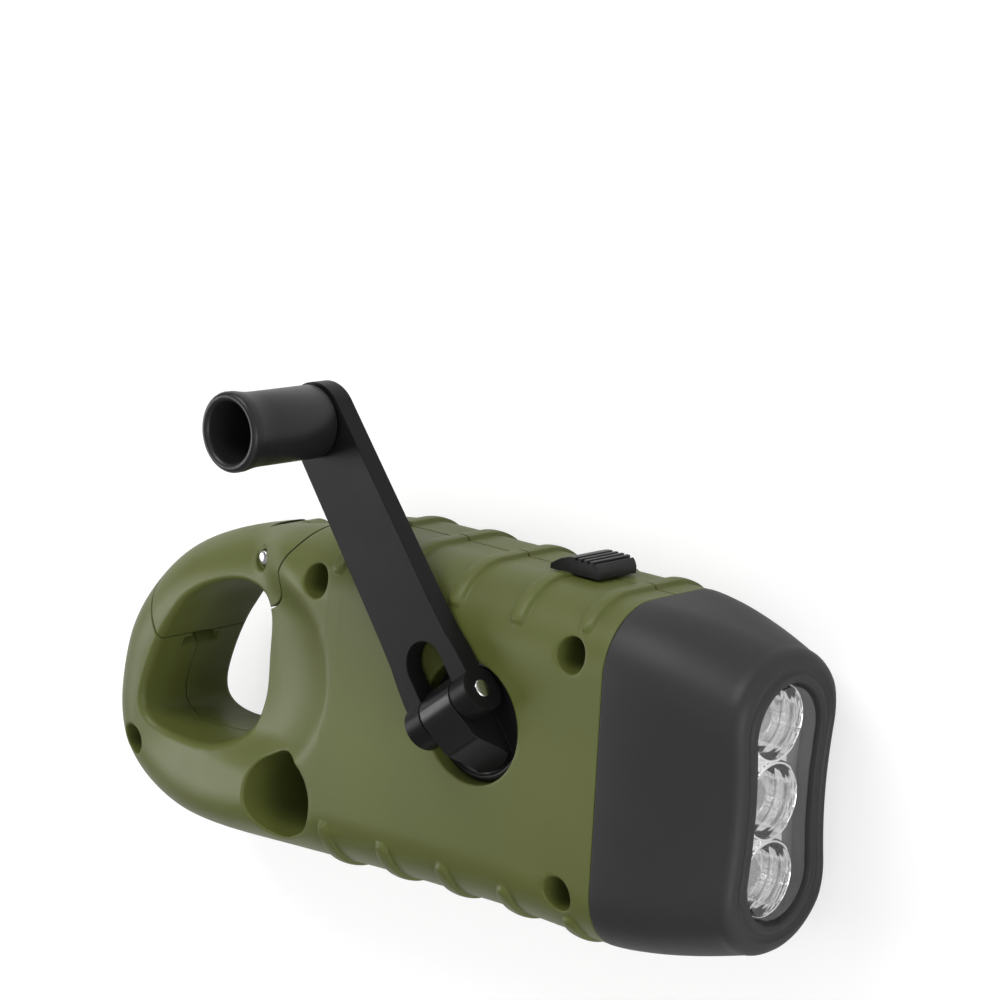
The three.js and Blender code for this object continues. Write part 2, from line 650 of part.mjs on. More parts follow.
// The stow pocket, drawn out away from the hub so that the tilted knob clears it as the arm folds
function pocket(z0, z1, radius) {
  const angle = THREE.MathUtils.radToDeg(Math.atan2(POCKET_Y - HUB_Y, POCKET_X));
  const [outX, outY] = along(angle, POCKET_SWING_ROOM, [POCKET_X, POCKET_Y]);
  return column([
    ...arcPoints(outX, outY, radius, angle - 90, angle + 90, ROUND_STEPS / 2),
    ...arcPoints(POCKET_X, POCKET_Y, radius, angle + 90, angle + 270, ROUND_STEPS / 2),
  ], z0, z1);
}

function crankShell() {
  const bottom = MIDDLE + GAP / 2;
  const seat = MIDDLE + SCREW_SEAT_HEIGHT;
  const added = [];
  const removed = [];
  SCREW_PLACES.forEach(([, x, y]) => {
    added.push(rod(x, y, bottom, THICKNESS, BOSS_RADIUS).intersect(outer));
    removed.push(rod(x, y, seat, THICKNESS + OVERRUN, SCREW_HOLE_RADIUS));
    removed.push(rod(x, y, 0, THICKNESS, SCREW_SHANK_RADIUS + GAP));
  });
  added.push(pocket(POCKET_FLOOR - POCKET_WALL, THICKNESS, POCKET_RADIUS + POCKET_WALL).intersect(outer));
  removed.push(pocket(POCKET_FLOOR, THICKNESS + OVERRUN, POCKET_RADIUS));
  added.push(rod(0, HUB_Y, RECESS_BOTTOM - RECESS_FLOOR, THICKNESS - WALL / 2, RECESS_RADIUS + WALL));
  removed.push(rod(0, HUB_Y, RECESS_BOTTOM, THICKNESS + OVERRUN, RECESS_RADIUS));
  removed.push(rod(0, HUB_Y, 0, THICKNESS, SHAFT_RADIUS + RUNNING_CLEARANCE));
  const roof = THICKNESS - WALL / 2;
  added.push(rod(...FIRST_PLACE, MAIN_TOP + LAYER_GAP, roof, AXLE_BOSS_RADIUS));
  added.push(rod(...SECOND_PLACE, FIRST_TOP + LAYER_GAP, roof, AXLE_BOSS_RADIUS));
  [FIRST_PLACE, SECOND_PLACE].forEach((place) => {
    removed.push(rod(...place, 0, roof - WALL / 2, AXLE_RADIUS + RUNNING_CLEARANCE));
  });
  placed(POST_SHARES).forEach((p) => {
    const post = rod(p.x, p.y, PLATE_TOP + GAP / 2, THICKNESS - WALL / 2, PLATE_POST_RADIUS);
    added.push(post.intersect(bodyForm(WALL / 2)));
    removed.push(rod(p.x, p.y, 0, PLATE_TOP + 2 * PLATE_POST_RADIUS, PLATE_SCREW_RADIUS + GAP / 2));
  });
  added.push(gateLug(bottom, MIDDLE + GATE_LUG_WIDTH / 2));
  removed.push(rod(GATE_PIN_X, GATE_PIN_Y, 0, THICKNESS, GATE_PIN_RADIUS + RUNNING_CLEARANCE));
  return cut(join(shellBlank(bottom, THICKNESS + OVERRUN), ...added), ...removed);
}

function backShell() {
  const top = MIDDLE - GAP / 2;
  const added = [];
  const removed = [];
  SCREW_PLACES.forEach(([, x, y]) => {
    added.push(rod(x, y, 0, top, BOSS_RADIUS).intersect(outer));
    const low = MIDDLE + SCREW_SEAT_HEIGHT - SCREW_LENGTH - 3 * GAP;
    removed.push(rod(x, y, low, THICKNESS, SCREW_SHANK_RADIUS + GAP));
  });
  added.push(gateLug(MIDDLE - GATE_LUG_WIDTH / 2, top));
  removed.push(rod(GATE_PIN_X, GATE_PIN_Y, 0, THICKNESS, GATE_PIN_RADIUS + RUNNING_CLEARANCE));
  removed.push(pocket(POCKET_FLOOR - POCKET_WALL - GAP, THICKNESS, POCKET_RADIUS + POCKET_WALL + GAP));
  const cellFloor = MIDDLE - CELL_RADIUS + CELL_WRAP;
  added.push(block(CELL_X - CELL_RADIUS, FRONT_SEAM - WALL, -CELL_LENGTH, CELL_LENGTH, WALL / 2, cellFloor));
  removed.push(cellRoom());
  added.push(rod(...ROTOR_PLACE, WALL / 2, dynamoBottom() - GAP, CAN_RADIUS));
  return cut(join(shellBlank(-OVERRUN, top), ...added), ...removed);
}

function dynamoBottom() {
  return PLATE_BOTTOM - GAP - MAGNET_LENGTH - 4 * CAN_WALL - GAP;
}

function cellCentreZ() {
  return HEAD_WALL + SPIGOT_TAPER + SPIGOT_WALL + CELL_RADIUS + CELL_WRAP + 2 * GAP;
}

function cellRoom() {
  const length = CELL_COUNT * (CELL_LENGTH + GAP);
  const radius = CELL_RADIUS + CELL_WRAP + GAP;
  const geometry = new THREE.CylinderGeometry(radius, radius, length + 2 * WALL, ROUND_STEPS);
  geometry.translate(CELL_X, 0, cellCentreZ());
  return solid(geometry);
}

// Head cover with its lamp window
function headCover() {
  const back = FRONT_SEAM + GAP / 2;
  const length = HEAD_FRONT - back;
  const stations = (inset) => HEAD_STATION_SHARES.map((share) => ({
    x: back + length * share,
    points: headSection(share, inset),
  }));
  const lip = HEAD_LIP_SHARES.map(([share, inwards]) => ({
    x: back + length * share,
    points: headSection(1, HEAD_LIP_RADIUS * inwards),
  }));
  const skin = lofted([...stations(0), ...lip]);
  const hollow = lofted([
    { x: FRONT_SEAM - WALL, points: headSection(0, HEAD_WALL) },
    ...stations(HEAD_WALL).slice(1, -1),
    { x: HEAD_FRONT - HEAD_FRONT_WALL, points: headSection(HEAD_STATION_SHARES.at(-1), HEAD_WALL) },
  ]);
  return cut(skin, hollow, windowPlug(HEAD_FRONT - HEAD_FRONT_WALL - WALL, HEAD_FRONT + OVERRUN, GAP));
}

function lampYs() {
  return Array.from({ length: LAMP_COUNT }, (_, i) => (i - (LAMP_COUNT - 1) / 2) * LAMP_PITCH);
}

// A solid of revolution about a line along X through a lamp
function lampTurned(y, profile) {
  const geometry = new THREE.LatheGeometry(profile.map(([r, h]) => new THREE.Vector2(r, h)), ROUND_STEPS);
  geometry.rotateZ(-Math.PI / 2);
  geometry.translate(0, y, MIDDLE);
  return solid(geometry);
}

function reflector() {
  const body = windowPlug(REFLECTOR_BACK, REFLECTOR_FRONT, -GAP);
  const flange = windowPlug(FLANGE_FRONT - REFLECTOR_FLANGE, FLANGE_FRONT, REFLECTOR_FLANGE);
  const cups = lampYs().map((y) => lampTurned(y, [
    [0, REFLECTOR_BACK - WALL],
    [CUP_THROAT_RADIUS, REFLECTOR_BACK - WALL],
    [CUP_THROAT_RADIUS, REFLECTOR_BACK],
    [(CUP_THROAT_RADIUS + CUP_RADIUS) / 2 + GAP, (REFLECTOR_BACK * 2 + REFLECTOR_FRONT) / 3],
    [CUP_RADIUS, REFLECTOR_FRONT],
    [CUP_RADIUS, REFLECTOR_FRONT + WALL],
    [0, REFLECTOR_FRONT + WALL],
  ]));
  return cut(join(body, flange), ...cups);
}

function led(y) {
  const back = LED_BOARD_FRONT + GAP / 2;
  const shoulder = back + LED_FLANGE;
  const dome = back + LED_LENGTH;
  const profile = [
    [0, back], [LED_FLANGE_RADIUS, back], [LED_FLANGE_RADIUS, shoulder], [LED_RADIUS, shoulder],
  ];
  for (let i = 0; i <= EDGE_STEPS; i += 1) {
    const angle = rad(90 * i / EDGE_STEPS);
    const radius = i === EDGE_STEPS ? 0 : LED_RADIUS * Math.cos(angle);
    profile.push([radius, dome - LED_RADIUS + LED_RADIUS * Math.sin(angle)]);
  }
  return lampTurned(y, profile);
}

function ledBoard() {
  return block(LED_BOARD_FRONT - BOARD_THICKNESS, LED_BOARD_FRONT, -LED_BOARD_HALF_Y, LED_BOARD_HALF_Y,
    MIDDLE - LED_BOARD_HALF_Z, MIDDLE + LED_BOARD_HALF_Z);
}

// Gate, its pin and its spring
function gate() {
  const blank = outer.intersect(column(gateOutline, -OVERRUN, THICKNESS + OVERRUN));
  const slotPlan = grown(lugPlan, 2 * GAP);
  const low = MIDDLE - GATE_LUG_WIDTH / 2 - GAP;
  const high = MIDDLE + GATE_LUG_WIDTH / 2 + GAP;
  const slot = column(slotPlan, low - SPRING_HEIGHT, high);
  const heelRoom = rod(GATE_PIN_X, GATE_PIN_Y, low, high, GATE_HEEL_RADIUS + 2 * WALL);
  const reach = 2 * GATE_HEEL_RADIUS;
  const beyond = block(GATE_PIN_X, 0, GATE_PIN_Y - reach, GATE_PIN_Y + reach, 0, THICKNESS);
  const pinHole = rod(GATE_PIN_X, GATE_PIN_Y, 0, THICKNESS, GATE_PIN_RADIUS + RUNNING_CLEARANCE);
  const face = THICKNESS - LOOP_DROP;
  const mouth = rod(GATE_PIN_X, GATE_PIN_Y, face - GATE_PIN_MOUTH_DEPTH, THICKNESS, GATE_PIN_MOUTH_RADIUS);
  const body = cut(blank, holeColumn, slot, heelRoom.intersect(beyond), pinHole, mouth);
  return join(body, cut(tongue(0, 203.5, 213), holeColumn));
}

function gatePin() {
  return rod(GATE_PIN_X, GATE_PIN_Y, LOOP_DROP + GATE_PIN_INSET,
    THICKNESS - LOOP_DROP - GATE_PIN_INSET, GATE_PIN_RADIUS);
}

// Torsion spring round the gate pin, between the lug and the lower cheek
function gateSpring() {
  const top = MIDDLE - GATE_LUG_WIDTH / 2 - GAP;
  const pitch = (SPRING_HEIGHT - GAP - 2 * SPRING_WIRE) / SPRING_TURNS;
  const steps = SPRING_TURN_STEPS * SPRING_TURNS;
  const points = Array.from({ length: steps + 1 }, (_, i) => {
    const angle = 2 * Math.PI * i / SPRING_TURN_STEPS;
    return new THREE.Vector3(
      GATE_PIN_X + SPRING_RADIUS * Math.cos(angle),
      GATE_PIN_Y + SPRING_RADIUS * Math.sin(angle),
      top - SPRING_WIRE - pitch * i / SPRING_TURN_STEPS,
    );
  });
  const wire = Math.min(SPRING_WIRE, pitch / 2 - GAP / 2);
  const section = new THREE.Shape(arcPoints(0, 0, wire, 0, 288, 4));
  return solid(new THREE.ExtrudeGeometry(section, {
    steps,
    bevelEnabled: false,
    extrudePath: new THREE.CatmullRomCurve3(points),
  }));
}

// Crank hub, modelled with the arm side along +X, then turned into place
function turnedToArm(manifold) {
  return manifold.rotate([0, 0, ARM_DIRECTION_DEG]).translate([0, HUB_Y, 0]);
}

// A round bar across the arm
function crossBar(radius, halfWidth, x, steps = ROUND_STEPS) {
  const geometry = new THREE.CylinderGeometry(radius, radius, 2 * halfWidth, steps);
  geometry.translate(x, 0, HINGE_Z);
  return solid(geometry);
}

function crankHub() {
  const side = LUG_WIDTH / 2;
  const ribEnd = HUB_RADIUS - 2 * GAP - side / 4;
  const disc = rod(0, 0, DISC_TOP - HUB_THICKNESS, DISC_TOP, HUB_RADIUS);
  const shaft = rod(0, 0, PLATE_BOTTOM, DISC_TOP, SHAFT_RADIUS);
  const rib = block(-ribEnd, ribEnd, -side, side, DISC_TOP - GAP, THICKNESS);
  const foot = block(HINGE_OFFSET - KNUCKLE_RADIUS, HINGE_OFFSET + KNUCKLE_RADIUS, -side, side,
    DISC_TOP - GAP, HINGE_Z);
  const knuckle = crossBar(KNUCKLE_RADIUS, side, HINGE_OFFSET);
  const bore = crossBar(HINGE_PIN_RADIUS + RUNNING_CLEARANCE, FORK_WIDTH, HINGE_OFFSET);
  return turnedToArm(cut(join(disc, shaft, rib, foot, knuckle), bore));
}

// Arm outline in its own length, from the fork to the round knob end
function armPlate() {
  const fork = FORK_WIDTH / 2;
  const tip = HINGE_OFFSET + ARM_REACH;
  const root = HINGE_OFFSET + KNUCKLE_RADIUS / 4;
  const [straight, taper] = ARM_TAPER_SHARES.map((share) => HINGE_OFFSET + share * ARM_REACH);
  const points = [
    new THREE.Vector2(root, -fork),
    new THREE.Vector2(straight, -fork),
    new THREE.Vector2(taper, -fork + 2 * GAP),
    ...arcPoints(tip, 0, ARM_END_RADIUS, -86, 86, 14),
    new THREE.Vector2(taper, fork - 2 * GAP),
    new THREE.Vector2(straight, fork),
    new THREE.Vector2(root, fork),
  ];
  return column(points, ARM_BOTTOM, ARM_TOP);
}

function crankArm() {
  const lugHalf = LUG_WIDTH / 2 + GAP;
  const slotRound = ARM_SLOT_LENGTH / 2;
  const slotEnd = HINGE_OFFSET + KNUCKLE_RADIUS + ARM_SLOT_LENGTH;
  const slot = column([
    new THREE.Vector2(-RECESS_RADIUS, -lugHalf),
    ...arcPoints(slotEnd - slotRound, 0, lugHalf, -90, 90, 10),
    new THREE.Vector2(-RECESS_RADIUS, lugHalf),
  ], 0, 2 * THICKNESS);
  const ears = crossBar(KNUCKLE_RADIUS, FORK_WIDTH / 2, HINGE_OFFSET);
  const bore = crossBar(HINGE_PIN_RADIUS + RUNNING_CLEARANCE, FORK_WIDTH, HINGE_OFFSET);
  const tip = HINGE_OFFSET + ARM_REACH;
  const post = rod(tip, 0, ARM_TOP - GAP, ARM_TOP + KNOB_BASE + 2 * GAP, POST_RADIUS);
  const thread = rod(tip, 0, ARM_BOTTOM + GAP, 2 * THICKNESS, KNOB_SCREW_SHANK_RADIUS + RUNNING_CLEARANCE);
  return turnedToArm(cut(join(cut(join(armPlate(), ears), slot, bore), post), thread));
}

function hingePin() {
  return turnedToArm(crossBar(HINGE_PIN_RADIUS, FORK_WIDTH / 2 + HINGE_PIN_PROUD, HINGE_OFFSET));
}

function crankKnob() {
  const low = ARM_TOP + GAP;
  const high = low + KNOB_LENGTH;
  const tip = HINGE_OFFSET + ARM_REACH;
  const cup = turned(tip, 0, [
    [0, low], [KNOB_RADIUS, low], [KNOB_RADIUS, high - 3 * KNOB_RIM_HEIGHT],
    [KNOB_RIM_RADIUS, high - KNOB_RIM_HEIGHT], [KNOB_RIM_RADIUS, high - GAP], [KNOB_RIM_RADIUS - GAP, high],
    [KNOB_BORE_RADIUS + GAP, high], [KNOB_BORE_RADIUS, high - 2 * KNOB_RIM_HEIGHT],
    [KNOB_BORE_RADIUS, low + KNOB_BASE], [0, low + KNOB_BASE],
  ]);
  return turnedToArm(cut(cup, rod(tip, 0, 0, 2 * THICKNESS, POST_RADIUS + RUNNING_CLEARANCE)));
}

function knobScrew() {
  const tip = HINGE_OFFSET + ARM_REACH;
  const seat = ARM_TOP + KNOB_BASE + 3 * GAP;
  const top = seat + KNOB_SCREW_HEAD_HEIGHT;
  const head = rod(tip, 0, seat, top, KNOB_SCREW_HEAD_RADIUS, KNOB_SCREW_HEAD_RADIUS - GAP);
  const shank = rod(tip, 0, ARM_BOTTOM + 2 * GAP, seat + GAP, KNOB_SCREW_SHANK_RADIUS);
  return turnedToArm(cut(join(head, shank), crossSlot(tip, 0, top, KNOB_SCREW_HEAD_RADIUS)));
}

// Cross recess in a screw head whose top is at a height
function crossSlot(x, y, top, headRadius) {
  const [long, wide, deep] = CROSS_SHARES.map((share) => share * headRadius);
  return join(
    block(x - long, x + long, y - wide, y + wide, top - deep, top + deep),
    block(x - wide, x + wide, y - long, y + long, top - deep, top + deep),
  );
}

function shellScrew(x, y) {
  const seat = MIDDLE + SCREW_SEAT_HEIGHT + GAP / 2;
  const top = seat + SCREW_HEAD_HEIGHT;
  const head = rod(x, y, seat, top, SCREW_HEAD_RADIUS, SCREW_HEAD_RADIUS - GAP);
  const shank = rod(x, y, seat - SCREW_LENGTH, seat + GAP, SCREW_SHANK_RADIUS);
  return cut(join(head, shank), crossSlot(x, y, top, SCREW_HEAD_RADIUS));
}

// Gear train
function mainGear() {
  const low = MAIN_TOP - GEAR_HEIGHT;
  const teeth = gear(...HUB_PLACE, low, MAIN_TOP, MAIN_TEETH, MAIN_MODULE, 0);
  const hub = rod(...HUB_PLACE, PLATE_TOP + GAP, MAIN_TOP, MAIN_HUB_RADIUS);
  return cut(join(teeth, hub), rod(...HUB_PLACE, 0, THICKNESS, SHAFT_RADIUS + RUNNING_CLEARANCE));
}

// Turn that puts a tooth gap of the follower opposite a tooth of the gear that drives it
function meshTurn(directionDeg, driverTeeth, driverTurn, teeth) {
  const driverPhase = (directionDeg - driverTurn) / (360 / driverTeeth);
  const share = driverPhase - Math.round(driverPhase);
  return directionDeg + 180 + (0.5 + share) * (360 / teeth);
}

const FIRST_TURN = meshTurn(FIRST_DIRECTION_DEG, MAIN_TEETH, 0, FIRST_PINION_TEETH);
const SECOND_TURN = meshTurn(SECOND_DIRECTION_DEG, FIRST_WHEEL_TEETH, FIRST_TURN, SECOND_PINION_TEETH);
const ROTOR_TURN = meshTurn(ROTOR_DIRECTION_DEG, SECOND_WHEEL_TEETH, SECOND_TURN, ROTOR_PINION_TEETH);

function compoundGear(place, top, pinionTeeth, pinionModule, wheelTeeth, wheelModule, turn) {
  const wheelTop = top - GEAR_HEIGHT - LAYER_GAP;
  const pinion = gear(...place, wheelTop - GAP, top + GAP, pinionTeeth, pinionModule, turn);
  const wheel = gear(...place, wheelTop - GEAR_HEIGHT, wheelTop, wheelTeeth, wheelModule, turn);
  return cut(join(pinion, wheel), rod(...place, 0, THICKNESS, AXLE_RADIUS + RUNNING_CLEARANCE));
}

function gearAxle(place) {
  return rod(...place, PLATE_BOTTOM + GAP, THICKNESS - WALL - GAP, AXLE_RADIUS);
}

function gearPlate() {
  const sheet = column(placed(PLATE_SHARES), PLATE_BOTTOM, PLATE_TOP);
  const holes = [
    rod(...HUB_PLACE, 0, THICKNESS, SHAFT_RADIUS + RUNNING_CLEARANCE),
    rod(...FIRST_PLACE, 0, THICKNESS, AXLE_RADIUS + RUNNING_CLEARANCE),
    rod(...SECOND_PLACE, 0, THICKNESS, AXLE_RADIUS + RUNNING_CLEARANCE),
    rod(...ROTOR_PLACE, 0, THICKNESS, ROTOR_SHAFT_RADIUS + RUNNING_CLEARANCE),
    ...placed(POST_SHARES).map((p) => rod(p.x, p.y, 0, THICKNESS, PLATE_SCREW_RADIUS + GAP / 2)),
  ];
  return cut(sheet, ...holes);
}

function plateScrew(p) {
  const seat = PLATE_BOTTOM - GAP / 2;
  const head = rod(p.x, p.y, seat - PLATE_SCREW_HEAD_HEIGHT, seat, PLATE_SCREW_HEAD_RADIUS);
  const shank = rod(p.x, p.y, seat - GAP, PLATE_TOP + PLATE_POST_RADIUS, PLATE_SCREW_RADIUS);
  return join(head, shank);
}

function dynamoRotor() {
  const magnetTop = PLATE_BOTTOM - 2 * GAP;
  const magnetLow = magnetTop - MAGNET_LENGTH;
  const pinion = gear(...ROTOR_PLACE, PLATE_TOP + GAP, SECOND_TOP + GAP,
    ROTOR_PINION_TEETH, SECOND_MODULE, ROTOR_TURN);
  const magnet = rod(...ROTOR_PLACE, magnetLow, magnetTop, MAGNET_RADIUS);
  const shaft = rod(...ROTOR_PLACE, magnetLow - GAP, SECOND_TOP + 2 * GAP, ROTOR_SHAFT_RADIUS);
  return join(pinion, magnet, shaft);
}

function dynamoCan() {
  const low = dynamoBottom();
  const high = PLATE_BOTTOM - GAP;
  const inside = CAN_RADIUS - CAN_WALL;
  return turned(...ROTOR_PLACE, [
    [0, low], [CAN_RADIUS, low], [CAN_RADIUS, high],
    [inside, high], [inside, low + CAN_WALL], [0, low + CAN_WALL],
  ]);
}

function dynamoCoil() {
  const low = dynamoBottom() + CAN_WALL + GAP;
  const high = PLATE_BOTTOM - 2 * GAP;
  return turned(...ROTOR_PLACE, [
    [COIL_INNER_RADIUS, low], [COIL_OUTER_RADIUS, low], [COIL_OUTER_RADIUS, high], [COIL_INNER_RADIUS, high],
    [COIL_INNER_RADIUS, low],
  ]);
}

// One button cell of the stack, lying along Y
function cell(i) {
  const pitch = CELL_LENGTH + GAP;
  const geometry = new THREE.CylinderGeometry(CELL_RADIUS, CELL_RADIUS, CELL_LENGTH, ROUND_STEPS);
  geometry.translate(CELL_X, (i - (CELL_COUNT - 1) / 2) * pitch, cellCentreZ());
  return solid(geometry);
}

function boardFoot() {
  return WALL + 3 * GAP;
}

function mainBoard() {
  return block(MAIN_BOARD_X, MAIN_BOARD_X + MAIN_BOARD_LENGTH, MAIN_BOARD_Y, MAIN_BOARD_Y + BOARD_THICKNESS,
    boardFoot(), boardFoot() + MAIN_BOARD_HEIGHT);
}

// Slide switch on the board, with the channel that its lever runs in
function slideSwitch() {
  const y0 = MAIN_BOARD_Y + BOARD_THICKNESS + GAP / 2;
  const y1 = y0 + SWITCH_BODY_DEPTH;
  const x0 = SWITCH_X - GAP;
  const x1 = x0 + SWITCH_LENGTH - GAP;
  const body = block(x0, x1, y0, y1, MIDDLE - SWITCH_BODY_WIDTH / 2, MIDDLE + SWITCH_BODY_WIDTH / 2 - GAP);
  const stem = SWITCH_X + SWITCH_STEM;
  const channel = block(stem - GAP, stem + SWITCH_STEM + SWITCH_TRAVEL + GAP, y1 - WALL, y1 + WALL,
    MIDDLE - SWITCH_STEM_WIDTH / 2 - GAP, MIDDLE + SWITCH_STEM_WIDTH / 2 + GAP);
  return cut(body, channel);
}

// Thumb slider: grooves on its front half, a smooth slope behind them, and the stem into the switch
function switchSlider() {
  const base = HALF_WIDTH + GAP;
  const top = base + SWITCH_HEIGHT;
  const z0 = MIDDLE - SWITCH_WIDTH / 2;
  const z1 = MIDDLE + SWITCH_WIDTH / 2;
  const profile = new THREE.Shape(SLIDER_SHARES.map(([forward, up]) => (
    new THREE.Vector2(SWITCH_X + forward * SWITCH_LENGTH, base + up * SWITCH_HEIGHT)
  )));
  const geometry = new THREE.ExtrudeGeometry(profile, { depth: z1 - z0, bevelEnabled: false });
  geometry.translate(0, 0, z0);
  const grooves = Array.from({ length: SWITCH_GROOVES }, (_, i) => {
    const x = SWITCH_X + SWITCH_LENGTH * (GROOVE_START_SHARE + GROOVE_PITCH_SHARE * i);
    return block(x, x + SWITCH_GROOVE, top - SWITCH_GROOVE, top + WALL, z0 - WALL, z1 + WALL);
  });
  const foot = MAIN_BOARD_Y + BOARD_THICKNESS + GAP / 2 + SWITCH_BODY_DEPTH - WALL + GAP;
  const stem = block(SWITCH_X + SWITCH_STEM, SWITCH_X + 2 * SWITCH_STEM, foot, base + GAP,
    MIDDLE - SWITCH_STEM_WIDTH / 2, MIDDLE + SWITCH_STEM_WIDTH / 2);
  return join(cut(solid(geometry), ...grooves), stem);
}

// One of a pair of insulated leads between two places, moved sideways by a share of its thickness
function lead(points, side) {
  const section = new THREE.Shape(arcPoints(0, 0, WIRE_RADIUS, 0, 315, 7));
  const path = new THREE.CatmullRomCurve3(points.map(([x, y, z]) => (
    new THREE.Vector3(x, y, z + side * WIRE_RADIUS * 1.5)
  )));
  return solid(new THREE.ExtrudeGeometry(section, {
    steps: WIRE_STEPS,
    bevelEnabled: false,
    extrudePath: path,
  }));
}

function lampLeadPath() {
  const from = MAIN_BOARD_X + MAIN_BOARD_LENGTH + GAP;
  const to = LED_BOARD_FRONT - BOARD_THICKNESS - GAP;
  const y = MAIN_BOARD_Y - 2 * WIRE_RADIUS;
  const z = boardFoot() + WALL;
  const low = y - 2 * WALL;
  return [
    [from - 2 * WALL, y - WIRE_RADIUS, z], [from, y - 2 * WIRE_RADIUS, z], [(from + to) / 2, low, z + WALL],
    [to - WALL, low, MIDDLE - WALL], [to, low, MIDDLE - WALL],
  ];
}

function dynamoLeadPath() {
  const [x, y] = ROTOR_PLACE;
  const z = PLATE_BOTTOM - 4 * WIRE_RADIUS;
  return [
    [x + WALL, y + CAN_RADIUS + GAP + WIRE_RADIUS, z], [x + 2 * WALL, y + CAN_RADIUS + 2 * WALL, z],
    [x + 3 * WALL, MAIN_BOARD_Y - 2 * WALL, z], [x + 4 * WALL, MAIN_BOARD_Y - GAP - WIRE_RADIUS, z],
  ];
}

// Finishes
const finish = {
  green: { color: 0x6b7146, roughness: 0.5, metalness: 0 },
  headGrey: { color: 0x343436, roughness: 0.5, metalness: 0 },
  black: { color: 0x2c2d2f, roughness: 0.45, metalness: 0 },
  glossBlack: { color: 0x1b1c1e, roughness: 0.2, metalness: 0 },
  steel: { color: 0xc8cacc, roughness: 0.3, metalness: 1 },
  chrome: { color: 0xe6e8ea, roughness: 0.08, metalness: 1 },
  clear: { color: 0xf2f5f7, roughness: 0.05, metalness: 0 },
  board: { color: 0x2f6b3c, roughness: 0.6, metalness: 0 },
  white: { color: 0xe9e7df, roughness: 0.5, metalness: 0 },
  copper: { color: 0xb4713d, roughness: 0.4, metalness: 1 },
  magnet: { color: 0x4a4a4c, roughness: 0.6, metalness: 0.2 },
  red: { color: 0xa8322c, roughness: 0.5, metalness: 0 },
};

const group = new THREE.Group();

function add(name, look, manifold) {
  const { vertProperties, triVerts, numProp } = manifold.getMesh();
  const position = new Float32Array(vertProperties.length / numProp * 3);
  for (let i = 0; i < position.length / 3; i += 1) {
    position.set(vertProperties.subarray(i * numProp, i * numProp + 3), i * 3);
  }
  const geometry = new THREE.BufferGeometry();
  geometry.setAttribute('position', new THREE.BufferAttribute(position, 3));
  geometry.setIndex(new THREE.BufferAttribute(triVerts, 1));
  const mesh = new THREE.Mesh(geometry, new THREE.MeshStandardMaterial(finish[look]));
  mesh.name = name;
  group.add(mesh);
}

add('shell_crank_side', 'green', crankShell());
add('shell_back_side', 'green', backShell());
add('head_cover', 'headGrey', headCover());
add('lamp_lens', 'clear', windowPlug(LENS_BACK, LENS_BACK + LENS_THICKNESS, 0));
add('reflector', 'chrome', reflector());
lampYs().forEach((y, i) => add(`led_${i + 1}`, 'clear', led(y)));
add('led_board', 'board', ledBoard());
add('carabiner_gate', 'green', gate());
add('gate_pin', 'steel', gatePin());
add('gate_spring', 'steel', gateSpring());
add('crank_hub', 'glossBlack', crankHub());
add('crank_arm', 'black', crankArm());
add('hinge_pin', 'steel', hingePin());
add('crank_knob', 'black', crankKnob());
add('knob_screw', 'steel', knobScrew());
add('main_gear', 'white', mainGear());
add('first_gear', 'white', compoundGear(FIRST_PLACE, MAIN_TOP, FIRST_PINION_TEETH, MAIN_MODULE,
  FIRST_WHEEL_TEETH, FIRST_MODULE, FIRST_TURN));
add('second_gear', 'white', compoundGear(SECOND_PLACE, FIRST_TOP, SECOND_PINION_TEETH, FIRST_MODULE,
  SECOND_WHEEL_TEETH, SECOND_MODULE, SECOND_TURN));
add('first_axle', 'steel', gearAxle(FIRST_PLACE));
add('second_axle', 'steel', gearAxle(SECOND_PLACE));
add('gear_plate', 'white', gearPlate());
placed(POST_SHARES).forEach((p, i) => add(`plate_screw_${i + 1}`, 'steel', plateScrew(p)));
add('dynamo_rotor', 'magnet', dynamoRotor());
add('dynamo_coil', 'copper', dynamoCoil());
add('dynamo_can', 'steel', dynamoCan());
for (let i = 0; i < CELL_COUNT; i += 1) {
  add(`button_cell_${i + 1}`, 'steel', cell(i));
}
add('main_board', 'board', mainBoard());
add('slide_switch', 'black', slideSwitch());
add('switch_slider', 'black', switchSlider());
[-1, 1].forEach((side, i) => {
  add(`lamp_lead_${i + 1}`, 'red', lead(lampLeadPath(), side));
  add(`dynamo_lead_${i + 1}`, 'red', lead(dynamoLeadPath(), side));
});
SCREW_PLACES.forEach(([place, x, y]) => add(`shell_screw_${place}`, 'steel', shellScrew(x, y)));

export default group;
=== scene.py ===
"""Fine surfaces, finishes, light and camera for a hand crank flashlight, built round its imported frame.

Lengths in the classes are millimetres in the frame's axes and become metres when a mesh is made: +X to
the lamps, +Y to the thumb switch, +Z out of the face that carries the crank, origin on the back face.
"""

import logging
import math
from dataclasses import dataclass, field
from enum import Enum

import bmesh
import bpy
import numpy as np
from mathutils import Matrix, Vector


